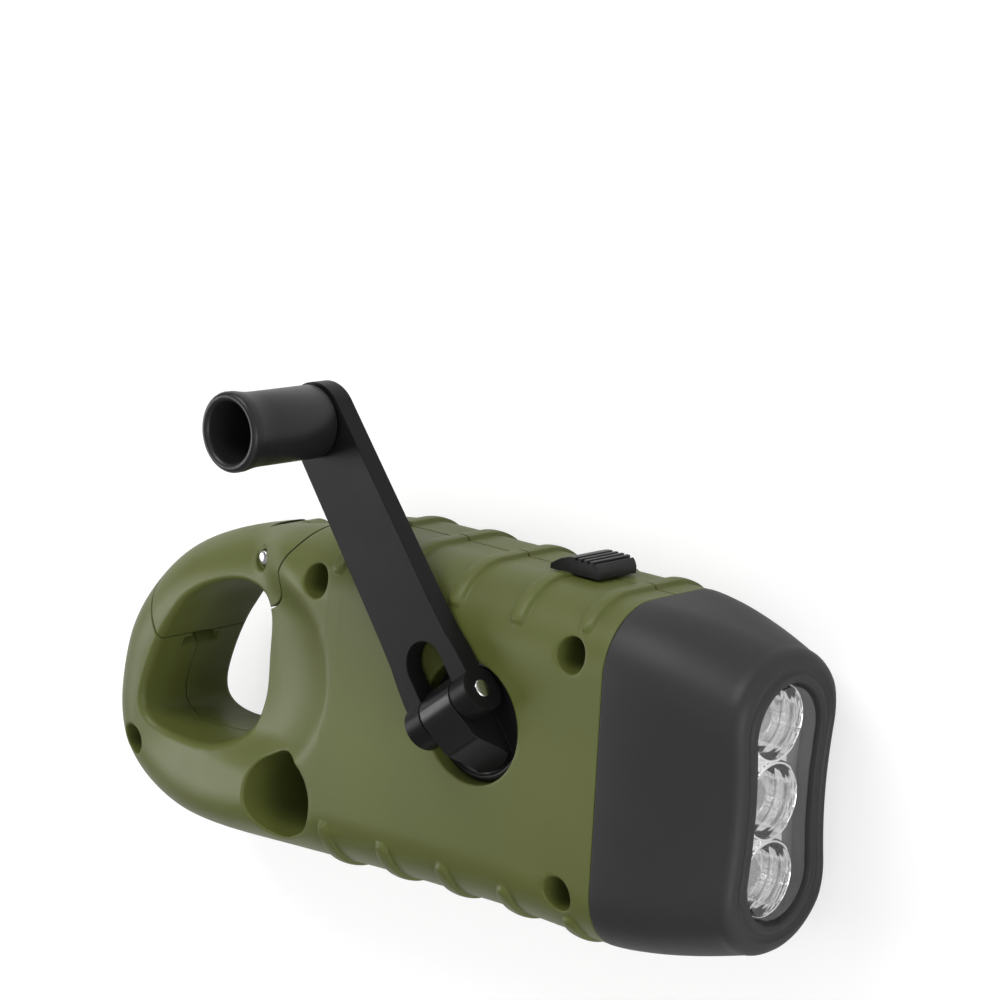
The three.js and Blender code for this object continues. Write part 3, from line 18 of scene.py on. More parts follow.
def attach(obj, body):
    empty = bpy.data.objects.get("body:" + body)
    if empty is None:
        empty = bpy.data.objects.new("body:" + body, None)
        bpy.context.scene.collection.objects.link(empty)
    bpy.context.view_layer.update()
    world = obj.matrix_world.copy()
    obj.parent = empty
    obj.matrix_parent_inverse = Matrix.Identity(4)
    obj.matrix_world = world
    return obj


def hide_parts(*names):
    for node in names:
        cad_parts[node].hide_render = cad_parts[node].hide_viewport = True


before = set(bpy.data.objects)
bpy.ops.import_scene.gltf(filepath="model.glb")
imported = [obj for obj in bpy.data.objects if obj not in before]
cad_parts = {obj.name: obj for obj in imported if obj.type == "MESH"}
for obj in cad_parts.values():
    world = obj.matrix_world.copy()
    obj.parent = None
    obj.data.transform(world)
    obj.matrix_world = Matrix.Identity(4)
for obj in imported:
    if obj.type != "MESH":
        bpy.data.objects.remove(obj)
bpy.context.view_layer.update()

logging.basicConfig(level=logging.INFO, format="%(message)s")
log = logging.getLogger("flashlight")

MM = 0.001
WELD = 2e-7
SMOOTH_ANGLE = math.radians(32)
BELOW = -9.0
ABOVE = 40.0
BEYOND = 60.0
TINY_STEPS = 24
SMALL_STEPS = 32
PLAIN_STEPS = 48
WIDE_STEPS = 96
FINE_STEPS = 128
CROSS_SHARES = (0.55, 0.13, 0.3)
UP = Vector((0, 0, 1))
ALONG = Vector((1, 0, 0))
ACROSS = Vector((0, 1, 0))
Point = tuple[float, float]
Corner = tuple[float, float, float]


class Carve(Enum):
    """How one solid acts on another."""

    CUT = "DIFFERENCE"
    JOIN = "UNION"
    KEEP = "INTERSECT"


class Side(Enum):
    """The two faces of the flashlight, with the sign of Z away from the mid-plane."""

    CRANK = 1
    BACK = -1


@dataclass(frozen=True)
class Sizes:
    """Sizes of the whole flashlight in millimetres, the same as the solids' own."""

    thickness: float = 29.0
    half_width: float = 24.6
    rear_reach: float = 87.0
    front_seam: float = 23.5
    head_length: float = 21.0
    edge_radius: float = 9.5
    wall: float = 2.0
    gap: float = 0.3
    loop_drop: float = 5.0
    slope_start: float = -29.0
    slope_middle_y: float = 2.0
    slope_bend: float = 28.6
    slope_length: float = 17.0
    rib_height: float = 0.7
    rib_width: float = 2.6
    rib_first: float = -28.5
    rib_pitch: float = 11.8
    rib_start_y: float = 18.8
    hub_y: float = 3.4
    gate_pin: Point = (-49.8, 16.3)
    gate_pin_bore: float = 1.3
    gate_reach: float = 28.5
    rotor: Point = (-5.42, -8.971)
    screw_seat: float = 4.0
    arm_direction: float = 128.0
    hinge_offset: float = 2.5
    hinge_z: float = 30.95
    arm_reach: float = 46.0

    @property
    def middle(self) -> float:
        """Height of the mid-plane."""
        return self.thickness / 2

    @property
    def head_front(self) -> float:
        """X of the front of the head."""
        return self.front_seam + self.head_length


S = Sizes()
OUTLINE_SHARES = (
    (-0.345, 0.99), (-0.506, 0.905), (-0.678, 0.772), (-0.816, 0.577), (-0.908, 0.309), (-0.971, -0.02),
    (-0.998, -0.407), (-0.996, -0.711), (-0.966, -0.955), (-0.902, -1.106), (-0.782, -1.175),
    (-0.632, -1.167), (-0.437, -1.114), (-0.207, -1.049), (0.034, -1.0),
)
HOLE_SHARES = (
    (-0.805, 0.094), (-0.833, -0.06), (-0.86, -0.264), (-0.876, -0.467), (-0.862, -0.585), (-0.808, -0.64),
    (-0.718, -0.63), (-0.638, -0.565), (-0.58, -0.43), (-0.549, -0.2), (-0.543, 0.08), (-0.5425, 0.33),
    (-0.566, 0.46), (-0.625, 0.485), (-0.701, 0.407), (-0.762, 0.276),
)
SCREWS = ((-32.5, 17.0), (17.5, 16.9), (17.5, -16.9), (-78.6, -19.2))
POCKET = (-38.31, -17.2)


# Mesh helpers


def new_object(name: str, vertices: np.ndarray, faces: list) -> bpy.types.Object:
    """Makes an object from points in millimetres and faces, welded, with its faces pointing outwards.

    Args:
        name: name of the object and its mesh.
        vertices: (n, 3) array of points.
        faces: lists of corner numbers.

    Returns:
        The object, linked to the scene.
    """
    mesh = bpy.data.meshes.new(name)
    mesh.from_pydata((np.asarray(vertices, float) * MM).tolist(), [], faces)
    work = bmesh.new()
    work.from_mesh(mesh)
    bmesh.ops.remove_doubles(work, verts=work.verts, dist=WELD)
    bmesh.ops.dissolve_degenerate(work, edges=work.edges, dist=WELD)
    bmesh.ops.recalc_face_normals(work, faces=work.faces)
    work.to_mesh(mesh)
    work.free()
    item = bpy.data.objects.new(name, mesh)
    bpy.context.scene.collection.objects.link(item)
    return item


def grid_faces(rows: int, columns: int, wrap_rows: bool) -> np.ndarray:
    """Corner numbers of the quads of a grid of points whose rows are closed loops, row by row.

    Args:
        rows: number of rows.
        columns: number of columns.
        wrap_rows: whether the last row joins the first.

    Returns:
        (n, 4) array of corner numbers.
    """
    row, column = np.meshgrid(np.arange(rows if wrap_rows else rows - 1), np.arange(columns), indexing="ij")
    below = (row + 1) % rows
    right = (column + 1) % columns
    row, below = row * columns, below * columns
    return np.stack([row + column, row + right, below + right, below + column], -1).reshape(-1, 4)


def surface(name: str, points: np.ndarray, wrap_rows: bool = False,
            caps: tuple[bool, bool] = (True, True)) -> bpy.types.Object:
    """Makes a closed body from a grid of points, with flat caps over the first and last row where asked.

    Args:
        name: name of the object.
        points: (rows, columns, 3) array in millimetres; each row is a closed loop.
        wrap_rows: whether the last row joins the first, as on a ring.
        caps: whether the first and the last row get a cap.

    Returns:
        The object.
    """
    rows, columns = points.shape[:2]
    faces = grid_faces(rows, columns, wrap_rows).tolist()
    if not wrap_rows and caps[0]:
        faces.append(list(range(columns))[::-1])
    if not wrap_rows and caps[1]:
        faces.append(list(range((rows - 1) * columns, rows * columns)))
    return new_object(name, points.reshape(-1, 3), faces)


def at_height(outline: np.ndarray, z: float | np.ndarray) -> np.ndarray:
    """Plan points lifted to one height, or each to its own."""
    return np.column_stack([outline, np.broadcast_to(z, len(outline))])


def column(name: str, outline: np.ndarray, low: float = BELOW, high: float = ABOVE) -> bpy.types.Object:
    """Makes an upright column over a plan outline, by default through the whole flashlight."""
    return surface(name, np.stack([at_height(outline, low), at_height(outline, high)]))


def revolved(name: str, profile: np.ndarray, place: Corner, axis: Vector = UP,
             steps: int = 64) -> bpy.types.Object:
    """Makes a body of revolution: each profile point (radius, height) is turned about an axis.

    Args:
        name: name of the object.
        profile: (n, 2) array of radius and height along the axis; a radius of 0 closes an end.
        place: a point of the axis, where the height is 0.
        axis: direction of the axis.
        steps: number of steps round.

    Returns:
        The object.
    """
    turn = np.linspace(0, 2 * np.pi, steps, endpoint=False)
    profile = np.asarray(profile, float)
    local = np.stack([
        profile[:, :1] * np.cos(turn), profile[:, :1] * np.sin(turn), np.repeat(profile[:, 1:], steps, 1),
    ], -1)
    rotation = np.array(UP.rotation_difference(axis).to_matrix())
    ring = bool(profile[0, 0] > 0 and profile[-1, 0] > 0)
    return surface(name, local @ rotation.T + np.array(place), wrap_rows=ring, caps=(False, False))


def circle(x: float, y: float, radius: float, steps: int) -> np.ndarray:
    """Points of a full circle in plan, as an (n, 2) array."""
    return arc(x, y, radius, 0, 360, steps)[:-1]


def rod(name: str, x: float, y: float, radius: float, low: float = BELOW, high: float = ABOVE,
        steps: int = 64) -> bpy.types.Object:
    """Makes an upright round bar, by default through the whole flashlight."""
    return column(name, circle(x, y, radius, steps), low, high)


def block(name: str, low: Corner, high: Corner) -> bpy.types.Object:
    """Makes a box between its lowest and its highest corner, named as given."""
    plan = np.array([[low[0], low[1]], [high[0], low[1]], [high[0], high[1]], [low[0], high[1]]])
    return column(name, plan, low[2], high[2])


def arc(x: float, y: float, radius: float, start: float, end: float, steps: int) -> np.ndarray:
    """Points on an arc in plan about (x, y): one more than the steps, from angle to angle in degrees."""
    turn = np.radians(np.linspace(start, end, steps + 1))
    return np.column_stack([x + radius * np.cos(turn), y + radius * np.sin(turn)])


def applied(item: bpy.types.Object) -> bpy.types.Mesh:
    """The mesh of an object with its modifiers worked out; the modifiers are taken off it.

    Args:
        item: the object.

    Returns:
        The new mesh.
    """
    bpy.context.view_layer.update()
    mesh = bpy.data.meshes.new_from_object(item.evaluated_get(bpy.context.evaluated_depsgraph_get()))
    item.modifiers.clear()
    return mesh


def carve(target: bpy.types.Object, tool: bpy.types.Object, how: Carve) -> None:
    """Cuts, joins or limits a solid by another, applies the result to its mesh and removes the tool.

    Args:
        target: the solid that changes.
        tool: the solid that acts on it.
        how: the way it acts.
    """
    before = len(target.data.vertices)
    for solver in ("MANIFOLD", "EXACT"):
        step = target.modifiers.new("carve", "BOOLEAN")
        step.operation = how.value
        step.solver = solver
        step.object = tool
        result = applied(target)
        if len(result.polygons) and (len(result.vertices) != before or solver == "EXACT"):
            break
    old, spent = target.data, tool.data
    target.data = result
    bpy.data.meshes.remove(old)
    bpy.data.objects.remove(tool)
    bpy.data.meshes.remove(spent)


def carve_all(target: bpy.types.Object, tools: list[bpy.types.Object], how: Carve) -> None:
    """Carves a solid by each of some tools in turn, all in the same way."""
    for tool in tools:
        carve(target, tool, how)


def finish_piece(item: bpy.types.Object, name: str, body: str, replaced: str,
                 material: bpy.types.Material, flat_faces: bool = False) -> None:
    """Names, shades, dresses and binds a finished piece, and reports it.

    Args:
        item: the piece, in place.
        name: its name.
        body: the moving body that it rides on.
        replaced: the frame node that it stands for.
        material: its finish.
        flat_faces: whether wide flat faces are shaded flat right up to their rounded edges.
    """
    item.name = name
    item.data.polygons.foreach_set("use_smooth", np.ones(len(item.data.polygons), bool))
    item.data.set_sharp_from_angle(angle=SMOOTH_ANGLE)
    if flat_faces:
        item.modifiers.new("flat", "WEIGHTED_NORMAL").keep_sharp = True
        item.data = applied(item)
    item.data.name = name
    item.data.materials.clear()
    item.data.materials.append(material)
    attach(item, body)
    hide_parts(replaced)
    log.info("%s: %d faces", name, len(item.data.polygons))


def soften(item: bpy.types.Object, width: float, steps: int, angle: float = 32) -> None:
    """Rounds the crisp edges of a piece and applies it to its mesh.

    Args:
        item: the piece.
        width: width of the rounding in millimetres.
        steps: number of steps across it.
        angle: least angle in degrees between the faces of an edge that is rounded.
    """
    step = item.modifiers.new("soften", "BEVEL")
    step.width = width * MM
    step.segments = steps
    step.limit_method = "ANGLE"
    step.angle_limit = math.radians(angle)
    item.data = applied(item)


def catmull_rom(points: np.ndarray, steps: int) -> np.ndarray:
    """A smooth curve through points, open at both ends.

    Each span is the cubic whose slope at a point is half the step between its two neighbours.

    Args:
        points: (n, 2) or (n, 3) array.
        steps: number of steps in each span.

    Returns:
        Array of points on the curve.
    """
    first = np.vstack([points[:1], points, points[-1:]])
    t = np.linspace(0, 1, steps, endpoint=False)[None, :, None]
    p0, p1, p2, p3 = (first[i:len(first) - 3 + i, None, :] for i in range(4))
    v0 = (p2 - p0) / 2
    v1 = (p3 - p1) / 2
    curve = (2 * p1 - 2 * p2 + v0 + v1) * t**3 + (-3 * p1 + 3 * p2 - 2 * v0 - v1) * t**2 + v0 * t + p1
    return np.vstack([curve.reshape(-1, points.shape[1]), points[-1:]])


def along(curve: np.ndarray, shares: np.ndarray) -> np.ndarray:
    """Points at shares of a plan curve's length, found by straight lines between its points.

    Args:
        curve: (n, 2) array of points.
        shares: shares of the whole length.

    Returns:
        (shares, 2) array of points.
    """
    length = np.concatenate([[0], np.cumsum(np.linalg.norm(np.diff(curve, axis=0), axis=1))])
    at = shares * length[-1]
    return np.column_stack([np.interp(at, length, curve[:, k]) for k in range(2)])


def placed(shares: tuple[Point, ...]) -> np.ndarray:
    """Plan points from shares of the rear reach and of the half width."""
    return np.array(shares) * np.array([S.rear_reach, S.half_width])


def grown(outline: np.ndarray, distance: float) -> np.ndarray:
    """Moves a closed plan outline outwards, each point along its normal.

    The normal is the direction between a point's neighbours, turned a quarter; the sign of the outline's
    area says which way is out.

    Args:
        outline: (n, 2) array of points.
        distance: how far the points move.

    Returns:
        The moved points.
    """
    way = np.roll(outline, -1, 0) - np.roll(outline, 1, 0)
    way /= np.linalg.norm(way, axis=1, keepdims=True)
    area = np.sum(outline[:, 0] * np.roll(outline[:, 1], -1) - np.roll(outline[:, 0], -1) * outline[:, 1])
    return outline + np.sign(area) * distance * np.column_stack([way[:, 1], -way[:, 0]])


def smooth_share(low: float, high: float, value: np.ndarray) -> np.ndarray:
    """0 below the low value, 1 above the high one, and the cubic ease s s (3 - 2 s) between them."""
    share = np.clip((value - low) / (high - low), 0, 1)
    return share * share * (3 - 2 * share)


def tube(name: str, path: np.ndarray, radius: float, steps: int) -> bpy.types.Object:
    """A round wire along a path: rings across the path's direction, kept level with the Z axis.

    Args:
        name: name of the object.
        path: (n, 3) array of points.
        radius: radius of the wire.
        steps: number of steps round.

    Returns:
        The object.
    """
    nearly_up = [0.02, 0.03, 1.0]
    way = np.gradient(path, axis=0)
    way /= np.linalg.norm(way, axis=1, keepdims=True)
    side = np.cross(way, nearly_up)
    side /= np.linalg.norm(side, axis=1, keepdims=True)
    up = np.cross(side, way)
    turn = np.linspace(0, 2 * np.pi, steps, endpoint=False)
    ring = side[:, None] * np.cos(turn)[None, :, None] + up[:, None] * np.sin(turn)[None, :, None]
    return surface(name, path[:, None] + radius * ring)


# Finishes


class Graph:
    """A node tree that is being built."""

    def __init__(self, tree: bpy.types.NodeTree, empty: bool = True) -> None:
        """Keeps the tree's nodes and links.

        Args:
            tree: the node tree.
            empty: whether the nodes that it comes with are removed.
        """
        self.nodes, self.links = tree.nodes, tree.links
        if empty:
            self.nodes.clear()

    def add(self, kind: str, **values: object) -> bpy.types.Node:
        """Adds a node and sets its inputs.

        Args:
            kind: its type, without "ShaderNode" in front.
            values: input values by the input's name, with _ for each space.

        Returns:
            The node.
        """
        node = self.nodes.new(f"ShaderNode{kind}")
        for name, value in values.items():
            node.inputs[name.replace("_", " ")].default_value = value
        return node

    def join(self, *ends: tuple[bpy.types.Node, str | int, bpy.types.Node, str | int]) -> None:
        """Links nodes: each of the ends is the first node, its output, the second node and its input."""
        for source, output, target, slot in ends:
            self.links.new(source.outputs[output], target.inputs[slot])


def grey(value: float) -> tuple[float, float, float, float]:
    """An opaque grey of a brightness."""
    return value, value, value, 1.0


@dataclass(frozen=True)
class Finish:
    """One moulded, plated or polished finish, with its grain and colour variation.

    The colour drifts by a slow noise, the gloss by a second one, and a fine noise raises the grain. Edges
    are rounded in the shading by the edge radius.
    """

    name: str
    color: Corner
    roughness: float
    metallic: float = 0.0
    drift: float = 0.08
    grain: float = 0.1
    grain_size: float = 0.35
    gloss_drift: float = 0.06
    edge: float = 0.18
    specular: float = 0.3
    ior: float = 1.46
    brushed: bool = False
    brush_stretch: float = 12.0
    drift_scale: float = 42.0
    gloss_scale: float = 160.0
    bump_depth: float = 0.05
    drift_range: Point = (0.3, 0.7)
    least_roughness: float = 0.02
    drift_detail: float = 3.0
    gloss_detail: float = 5.0
    grain_detail: float = 2.0
    edge_samples: int = 6

    def build(self) -> bpy.types.Material:
        """Builds the node material.

        Returns:
            The material.
        """
        material = bpy.data.materials.new(self.name)
        material.use_nodes = True
        graph = Graph(material.node_tree)
        output = graph.add("OutputMaterial")
        shader = graph.add("BsdfPrincipled", Metallic=self.metallic, IOR=self.ior,
                           Specular_IOR_Level=self.specular)
        place = graph.add("TexCoord")
        mapping = graph.add("Mapping", Scale=(1.0, 1.0, self.brush_stretch if self.brushed else 1.0))
        slow = graph.add("TexNoise", Scale=self.drift_scale, Detail=self.drift_detail)
        ramp = graph.add("MapRange", From_Min=self.drift_range[0], From_Max=self.drift_range[1])
        mix = graph.add("Mix")
        mix.data_type = "RGBA"
        mix.inputs["A"].default_value = tuple(c * (1 - self.drift) for c in self.color) + (1.0,)
        mix.inputs["B"].default_value = tuple(min(1.0, c * (1 + self.drift)) for c in self.color) + (1.0,)
        smear = graph.add("TexNoise", Scale=self.gloss_scale, Detail=self.gloss_detail)
        gloss = graph.add("MapRange", To_Min=max(self.least_roughness, self.roughness - self.gloss_drift),
                          To_Max=min(1.0, self.roughness + self.gloss_drift))
        round_edge = graph.add("Bevel", Radius=self.edge * MM)
        round_edge.samples = self.edge_samples
        bump = graph.add("Bump", Strength=self.grain, Distance=self.bump_depth * MM)
        fine = graph.add("TexNoise", Scale=1.0 / (self.grain_size * MM), Detail=self.grain_detail)
        graph.join(
            (shader, "BSDF", output, "Surface"), (place, "Object", mapping, "Vector"),
            (mapping, "Vector", slow, "Vector"), (slow, "Fac", ramp, "Value"),
            (ramp, "Result", mix, "Factor"), (mix, "Result", shader, "Base Color"),
            (mapping, "Vector", smear, "Vector"), (smear, "Fac", gloss, "Value"),
            (gloss, "Result", shader, "Roughness"), (mapping, "Vector", fine, "Vector"),
            (fine, "Fac", bump, "Height"), (round_edge, "Normal", bump, "Normal"),
            (bump, "Normal", shader, "Normal"),
        )
        return material


@dataclass(frozen=True)
class ClearFinish:
    """A clear plastic that light passes straight through, with gloss that grows at grazing angles."""

    name: str
    haze: float
    roughness: float = 0.05
    clear: float = 0.985
    milk: float = 0.92
    ior: float = 1.49
    smear_scale: float = 240.0
    smear: Point = (0.6, 1.6)
    veil: Point = (0.7, 1.3)
    bump: float = 0.05

    def build(self) -> bpy.types.Material:
        """Builds the node material: clear, glossy by Fresnel on front faces and, by a share, milky.

        Returns:
            The material.
        """
        material = bpy.data.materials.new(self.name)
        material.use_nodes = True
        graph = Graph(material.node_tree)
        output = graph.add("OutputMaterial")
        clear = graph.add("BsdfTransparent", Color=grey(self.clear))
        milk = graph.add("BsdfDiffuse", Color=grey(self.milk))
        gloss = graph.add("BsdfGlossy", Color=grey(1.0))
        place = graph.add("TexCoord")
        noise = graph.add("TexNoise", Scale=self.smear_scale)
        smear, veil = (
            graph.add("MapRange", To_Min=value * low, To_Max=value * high)
            for value, (low, high) in ((self.roughness, self.smear), (self.haze, self.veil))
        )
        body = graph.add("MixShader")
        fresnel = graph.add("Fresnel", IOR=self.ior)
        bump = graph.add("Bump", Strength=self.bump, Distance=self.bump * MM)
        side = graph.add("NewGeometry")
        front = graph.add("Math")
        front.operation = "SUBTRACT"
        front.use_clamp = True
        both = graph.add("MixShader")
        graph.join(
            (place, "Object", noise, "Vector"), (noise, "Fac", smear, "Value"),
            (smear, "Result", gloss, "Roughness"), (noise, "Fac", veil, "Value"),
            (veil, "Result", body, "Fac"), (clear, "BSDF", body, 1), (milk, "BSDF", body, 2),
            (noise, "Fac", bump, "Height"), (bump, "Normal", gloss, "Normal"),
            (bump, "Normal", fresnel, "Normal"), (fresnel, "Fac", front, 0), (side, "Backfacing", front, 1),
            (front, "Value", both, "Fac"), (body, "Shader", both, 1), (gloss, "BSDF", both, 2),
            (both, "Shader", output, "Surface"),
        )
        return material


FINISHES: dict[str, Finish | ClearFinish] = {
    "green": Finish("olive_satin_plastic", (0.086, 0.0985, 0.0235), 0.44, edge=0.45),
    "head": Finish("dark_grey_satin_plastic", (0.0235, 0.0235, 0.024), 0.5, edge=0.3, grain=0.14),
    "black": Finish("black_satin_plastic", (0.0128, 0.0129, 0.0132), 0.35, edge=0.2, grain=0.12),
    "arm": Finish("matt_black_plastic", (0.0075, 0.0075, 0.0077), 0.38, edge=0.2, grain=0.12,
                  specular=0.12),
    "hub": Finish("glossy_black_plastic", (0.008, 0.008, 0.0085), 0.3, edge=0.2, grain=0.04),
    "steel": Finish("bright_steel", (0.62, 0.62, 0.61), 0.24, metallic=1.0, drift=0.05, grain=0.06,
                    grain_size=0.5, edge=0.12, brushed=True),
    "chrome": Finish("plated_reflector", (0.95, 0.95, 0.95), 0.05, metallic=1.0, drift=0.02, grain=0.02,
                     grain_size=1.2, gloss_drift=0.02, edge=0.1),
    "gear": Finish("white_acetal", (0.72, 0.71, 0.67), 0.4, edge=0.08),
    "board": Finish("green_circuit_lacquer", (0.02, 0.12, 0.045), 0.3, drift=0.2, grain=0.2, edge=0.08),
    "copper": Finish("enamelled_copper", (0.55, 0.2, 0.07), 0.3, metallic=1.0, drift=0.15, grain=0.2,
                     grain_size=0.25, edge=0.05),
    "magnet": Finish("sintered_ferrite", (0.05, 0.05, 0.052), 0.6, drift=0.2, grain=0.3, edge=0.1),
    "lead": Finish("red_lead_insulation", (0.45, 0.03, 0.02), 0.45, edge=0.05),
    "clear": ClearFinish("clear_polished_plastic", 0.02),
    "dome": ClearFinish("lamp_epoxy", 0.14, 0.04),
}


# Body shells


@dataclass
class BodyForm:
    """The moulded body as one closed form: flat faces, rounded flanks and the sloping zone round the loop.

    The first four numbers say how fine it is: steps along the outline behind the ribs, round the edge,
    across each face and along each flank. The slope above and the slope below the middle are each given as
    where it starts behind the start line, and how much longer than the slope's length it is.
    """

    rear_steps: int
    edge_steps: int
    face_steps: int
    flank_steps: int = 44
    past_seam: float = 7.0
    before_ribs: float = 6.0
    curve_steps: int = 40
    column_offsets: tuple[float, ...] = (0.4, 0.75, 1.0, 1.15, 1.3, 1.45, 1.6)
    ribs: int = 5
    last_rib_inset: float = 1.3
    rib_shoulder: Point = (0.3, 0.05)
    rib_crown: float = 0.25
    rib_under: float = 0.05
    switch_rib: int = 3
    switch_room: Point = (4.6, 5.2)
    slope_softening: float = 0.5
    slope_threshold: float = 0.01
    slope_above: Point = (0.0, 1.0)
    slope_below: Point = (-6.0, 16.0)
    slope_fade: Point = (9.0, 17.0)
    distance_steps: int = 4000
    pit_top: float = 26.0
    lip_steps: int = 7
    lip_past: float = 1.05
    outline: np.ndarray = field(init=False)

    def __post_init__(self) -> None:
        """Works out the plan outline from the upper front to the lower front, as many points above as below.

        In front of the loop both flanks have points at the same X, close together at each rib, and the
        rest of the outline is divided evenly by its length.
        """
        far = S.front_seam + self.past_seam
        start = np.array([[-S.rear_reach / 6, S.half_width]])
        curve = catmull_rom(np.vstack([start, placed(OUTLINE_SHARES)]), self.curve_steps)
        curve = np.vstack([[[far, S.half_width]], curve, [[far, -S.half_width]]])
        centres = S.rib_first + S.rib_pitch * np.arange(self.ribs)
        offsets = np.array(self.column_offsets)
        offsets = np.concatenate([-offsets, [0], offsets])
        x = np.unique(np.round(np.concatenate([
            np.linspace(far, S.rib_first - self.before_ribs, self.flank_steps),
            (centres[:, None] + offsets[None, :]).ravel(),
        ]), 3))[::-1]
        rear = int(np.argmin(curve[:, 0]))
        upper, lower = curve[:rear + 1], curve[rear:]
        y_up = np.interp(-x, -upper[:, 0], upper[:, 1])
        y_low = np.interp(x, lower[:, 0], lower[:, 1])
        middle = np.vstack([[[x[-1], y_up[-1]]], curve[curve[:, 0] < x[-1]], [[x[-1], y_low[-1]]]])
        turned = along(middle, np.linspace(0, 1, self.rear_steps + 1))[1:-1]
        self.outline = np.vstack([np.column_stack([x, y_up]), turned, np.column_stack([x, y_low])[::-1]])

    def drop(self, point: np.ndarray) -> np.ndarray:
        """How far the sloping zone lies below the face: a curved start line, then a slope that levels out.

        The share s of the way down is how far a point lies behind the parabola of the start line, softened
        over its first millimetre. The depth is the drop times s times (2 - s). Towards the flanks it fades
        into an S shaped slope, which is longer on the lower flank.

        Args:
            point: (..., 2) or (..., 3) array of points.

        Returns:
            Array of depths.
        """
        line = S.slope_start - (point[..., 1] - S.slope_middle_y) ** 2 / S.slope_bend
        behind = line - point[..., 0]
        soft = (behind + np.sqrt(behind**2 + self.slope_softening**2)) / 2
        soft = np.maximum(0, soft - self.slope_threshold)
        share = np.clip(soft / S.slope_length, 0, 1)
        upper, lower = (
            smooth_share(start, S.slope_length + longer, behind)
            for start, longer in (self.slope_above, self.slope_below)
        )
        gentle = np.where(point[..., 1] > 0, upper, lower)
        fade = smooth_share(*self.slope_fade, np.abs(point[..., 1]))
        return S.loop_drop * (share * (2 - share) * (1 - fade) + gentle * fade)

    def rib_height(self, point: np.ndarray) -> np.ndarray:
        """Height of the ribs at points on the skin: five bands across the flanks with rounded shoulders.

        The band falls from 1 to 0 over the shoulder and is highest in its middle, by the square of the
        distance from it. One rib leaves room for the thumb switch.

        Args:
            point: (..., 3) array of points.

        Returns:
            Array of heights.
        """
        x, y, z = point[..., 0], point[..., 1], point[..., 2]
        half = S.rib_width / 2
        height = np.zeros(x.shape)
        for i in range(self.ribs):
            start = S.rib_start_y + half + (self.last_rib_inset if i == self.ribs - 1 else 0)
            off = np.hypot(x - S.rib_first - S.rib_pitch * i, np.maximum(0, start - np.abs(y)))
            band = 1 - smooth_share(half - self.rib_shoulder[0], half + self.rib_shoulder[1], off)
            if i == self.switch_rib:
                band = band * np.where(y > 0, smooth_share(*self.switch_room, np.abs(z - S.middle)), 1.0)
            height = np.maximum(height, band * (1 - self.rib_crown * (off / half) ** 2))
        return (S.rib_height - self.rib_under) * height

    def height(self, plan: np.ndarray) -> np.ndarray:
        """Height of the skin above the mid-plane at plan points, rounded off near the outline.

        At a distance d inside the outline that is less than the edge radius r, the height falls short of
        the flat face by r - sqrt(r^2 - (r - d)^2).

        Args:
            plan: (n, 2) array of points.

        Returns:
            (n,) array of heights.
        """
        dense = along(self.outline, np.linspace(0, 1, self.distance_steps))
        far = np.sqrt(((plan[:, None] - dense[None]) ** 2).sum(-1).min(1))
        short = np.clip(S.edge_radius - far, 0, S.edge_radius)
        rounded = S.edge_radius - np.sqrt(S.edge_radius**2 - short**2)
        return S.middle - self.drop(plan) - rounded

    def pit(self, name: str, outline: np.ndarray, floor: float, lip: float, side: Side) -> bpy.types.Object:
        """A tool for a pit with a rounded lip that follows the skin.

        At a turn t the lip is lip (1 - cos t) wider than the outline and lies lip (1 - sin t) under the skin.

        Args:
            name: name of the object.
            outline: plan outline of the pit.
            floor: height of its floor above the mid-plane, on the given side.
            lip: radius of the lip.
            side: the side that the pit opens to.

        Returns:
            The tool.
        """
        turn = np.linspace(0, np.pi / 2, self.lip_steps)
        rows = [at_height(outline, floor)]
        for grow, under in zip(lip * (1 - np.cos(turn)), lip * (1 - np.sin(turn))):
            plan = grown(outline, grow)
            rows.append(at_height(plan, self.height(plan) - under))
        rows.append(at_height(grown(outline, lip * self.lip_past), self.pit_top))
        points = np.stack(rows)
        points[..., 2] = S.middle + side.value * points[..., 2]
        return surface(name, points)

    def _edge(self, rows: np.ndarray, side: int, inset: float) -> tuple[np.ndarray, np.ndarray]:
        """Points and outward normals of the rounded edge at outline rows, moved in by an inset.

        At a turn t from the flank the point lies inset + r (1 - cos t) inside the outline and the straight
        half height + r sin t from the mid-plane.

        Args:
            rows: numbers of the outline's points.
            side: 1 for the crank's face, -1 for the back.
            inset: distance inwards.

        Returns:
            The points and the normals, both (rows, steps, 3) arrays.
        """
        last = len(self.outline) - 1
        way = self.outline[np.minimum(rows + 1, last)] - self.outline[np.maximum(rows - 1, 0)]
        way /= np.linalg.norm(way, axis=1, keepdims=True)
        inward = np.column_stack([-way[:, 1], way[:, 0]])
        turn = np.linspace(0, np.pi / 2, self.edge_steps + 1)
        radius = S.edge_radius - inset
        within = (inset + radius * (1 - np.cos(turn)))[None, :, None]
        plan = self.outline[rows][:, None] + inward[:, None] * within
        straight = S.middle - S.edge_radius - self.drop(plan)
        height = S.middle + side * (straight + radius * np.sin(turn)[None, :])
        normal = np.concatenate([
            -inward[:, None] * np.cos(turn)[None, :, None],
            np.broadcast_to(side * np.sin(turn)[None, :, None], (len(rows), len(turn), 1)),
        ], -1)
        return np.concatenate([plan, height[..., None]], -1), normal

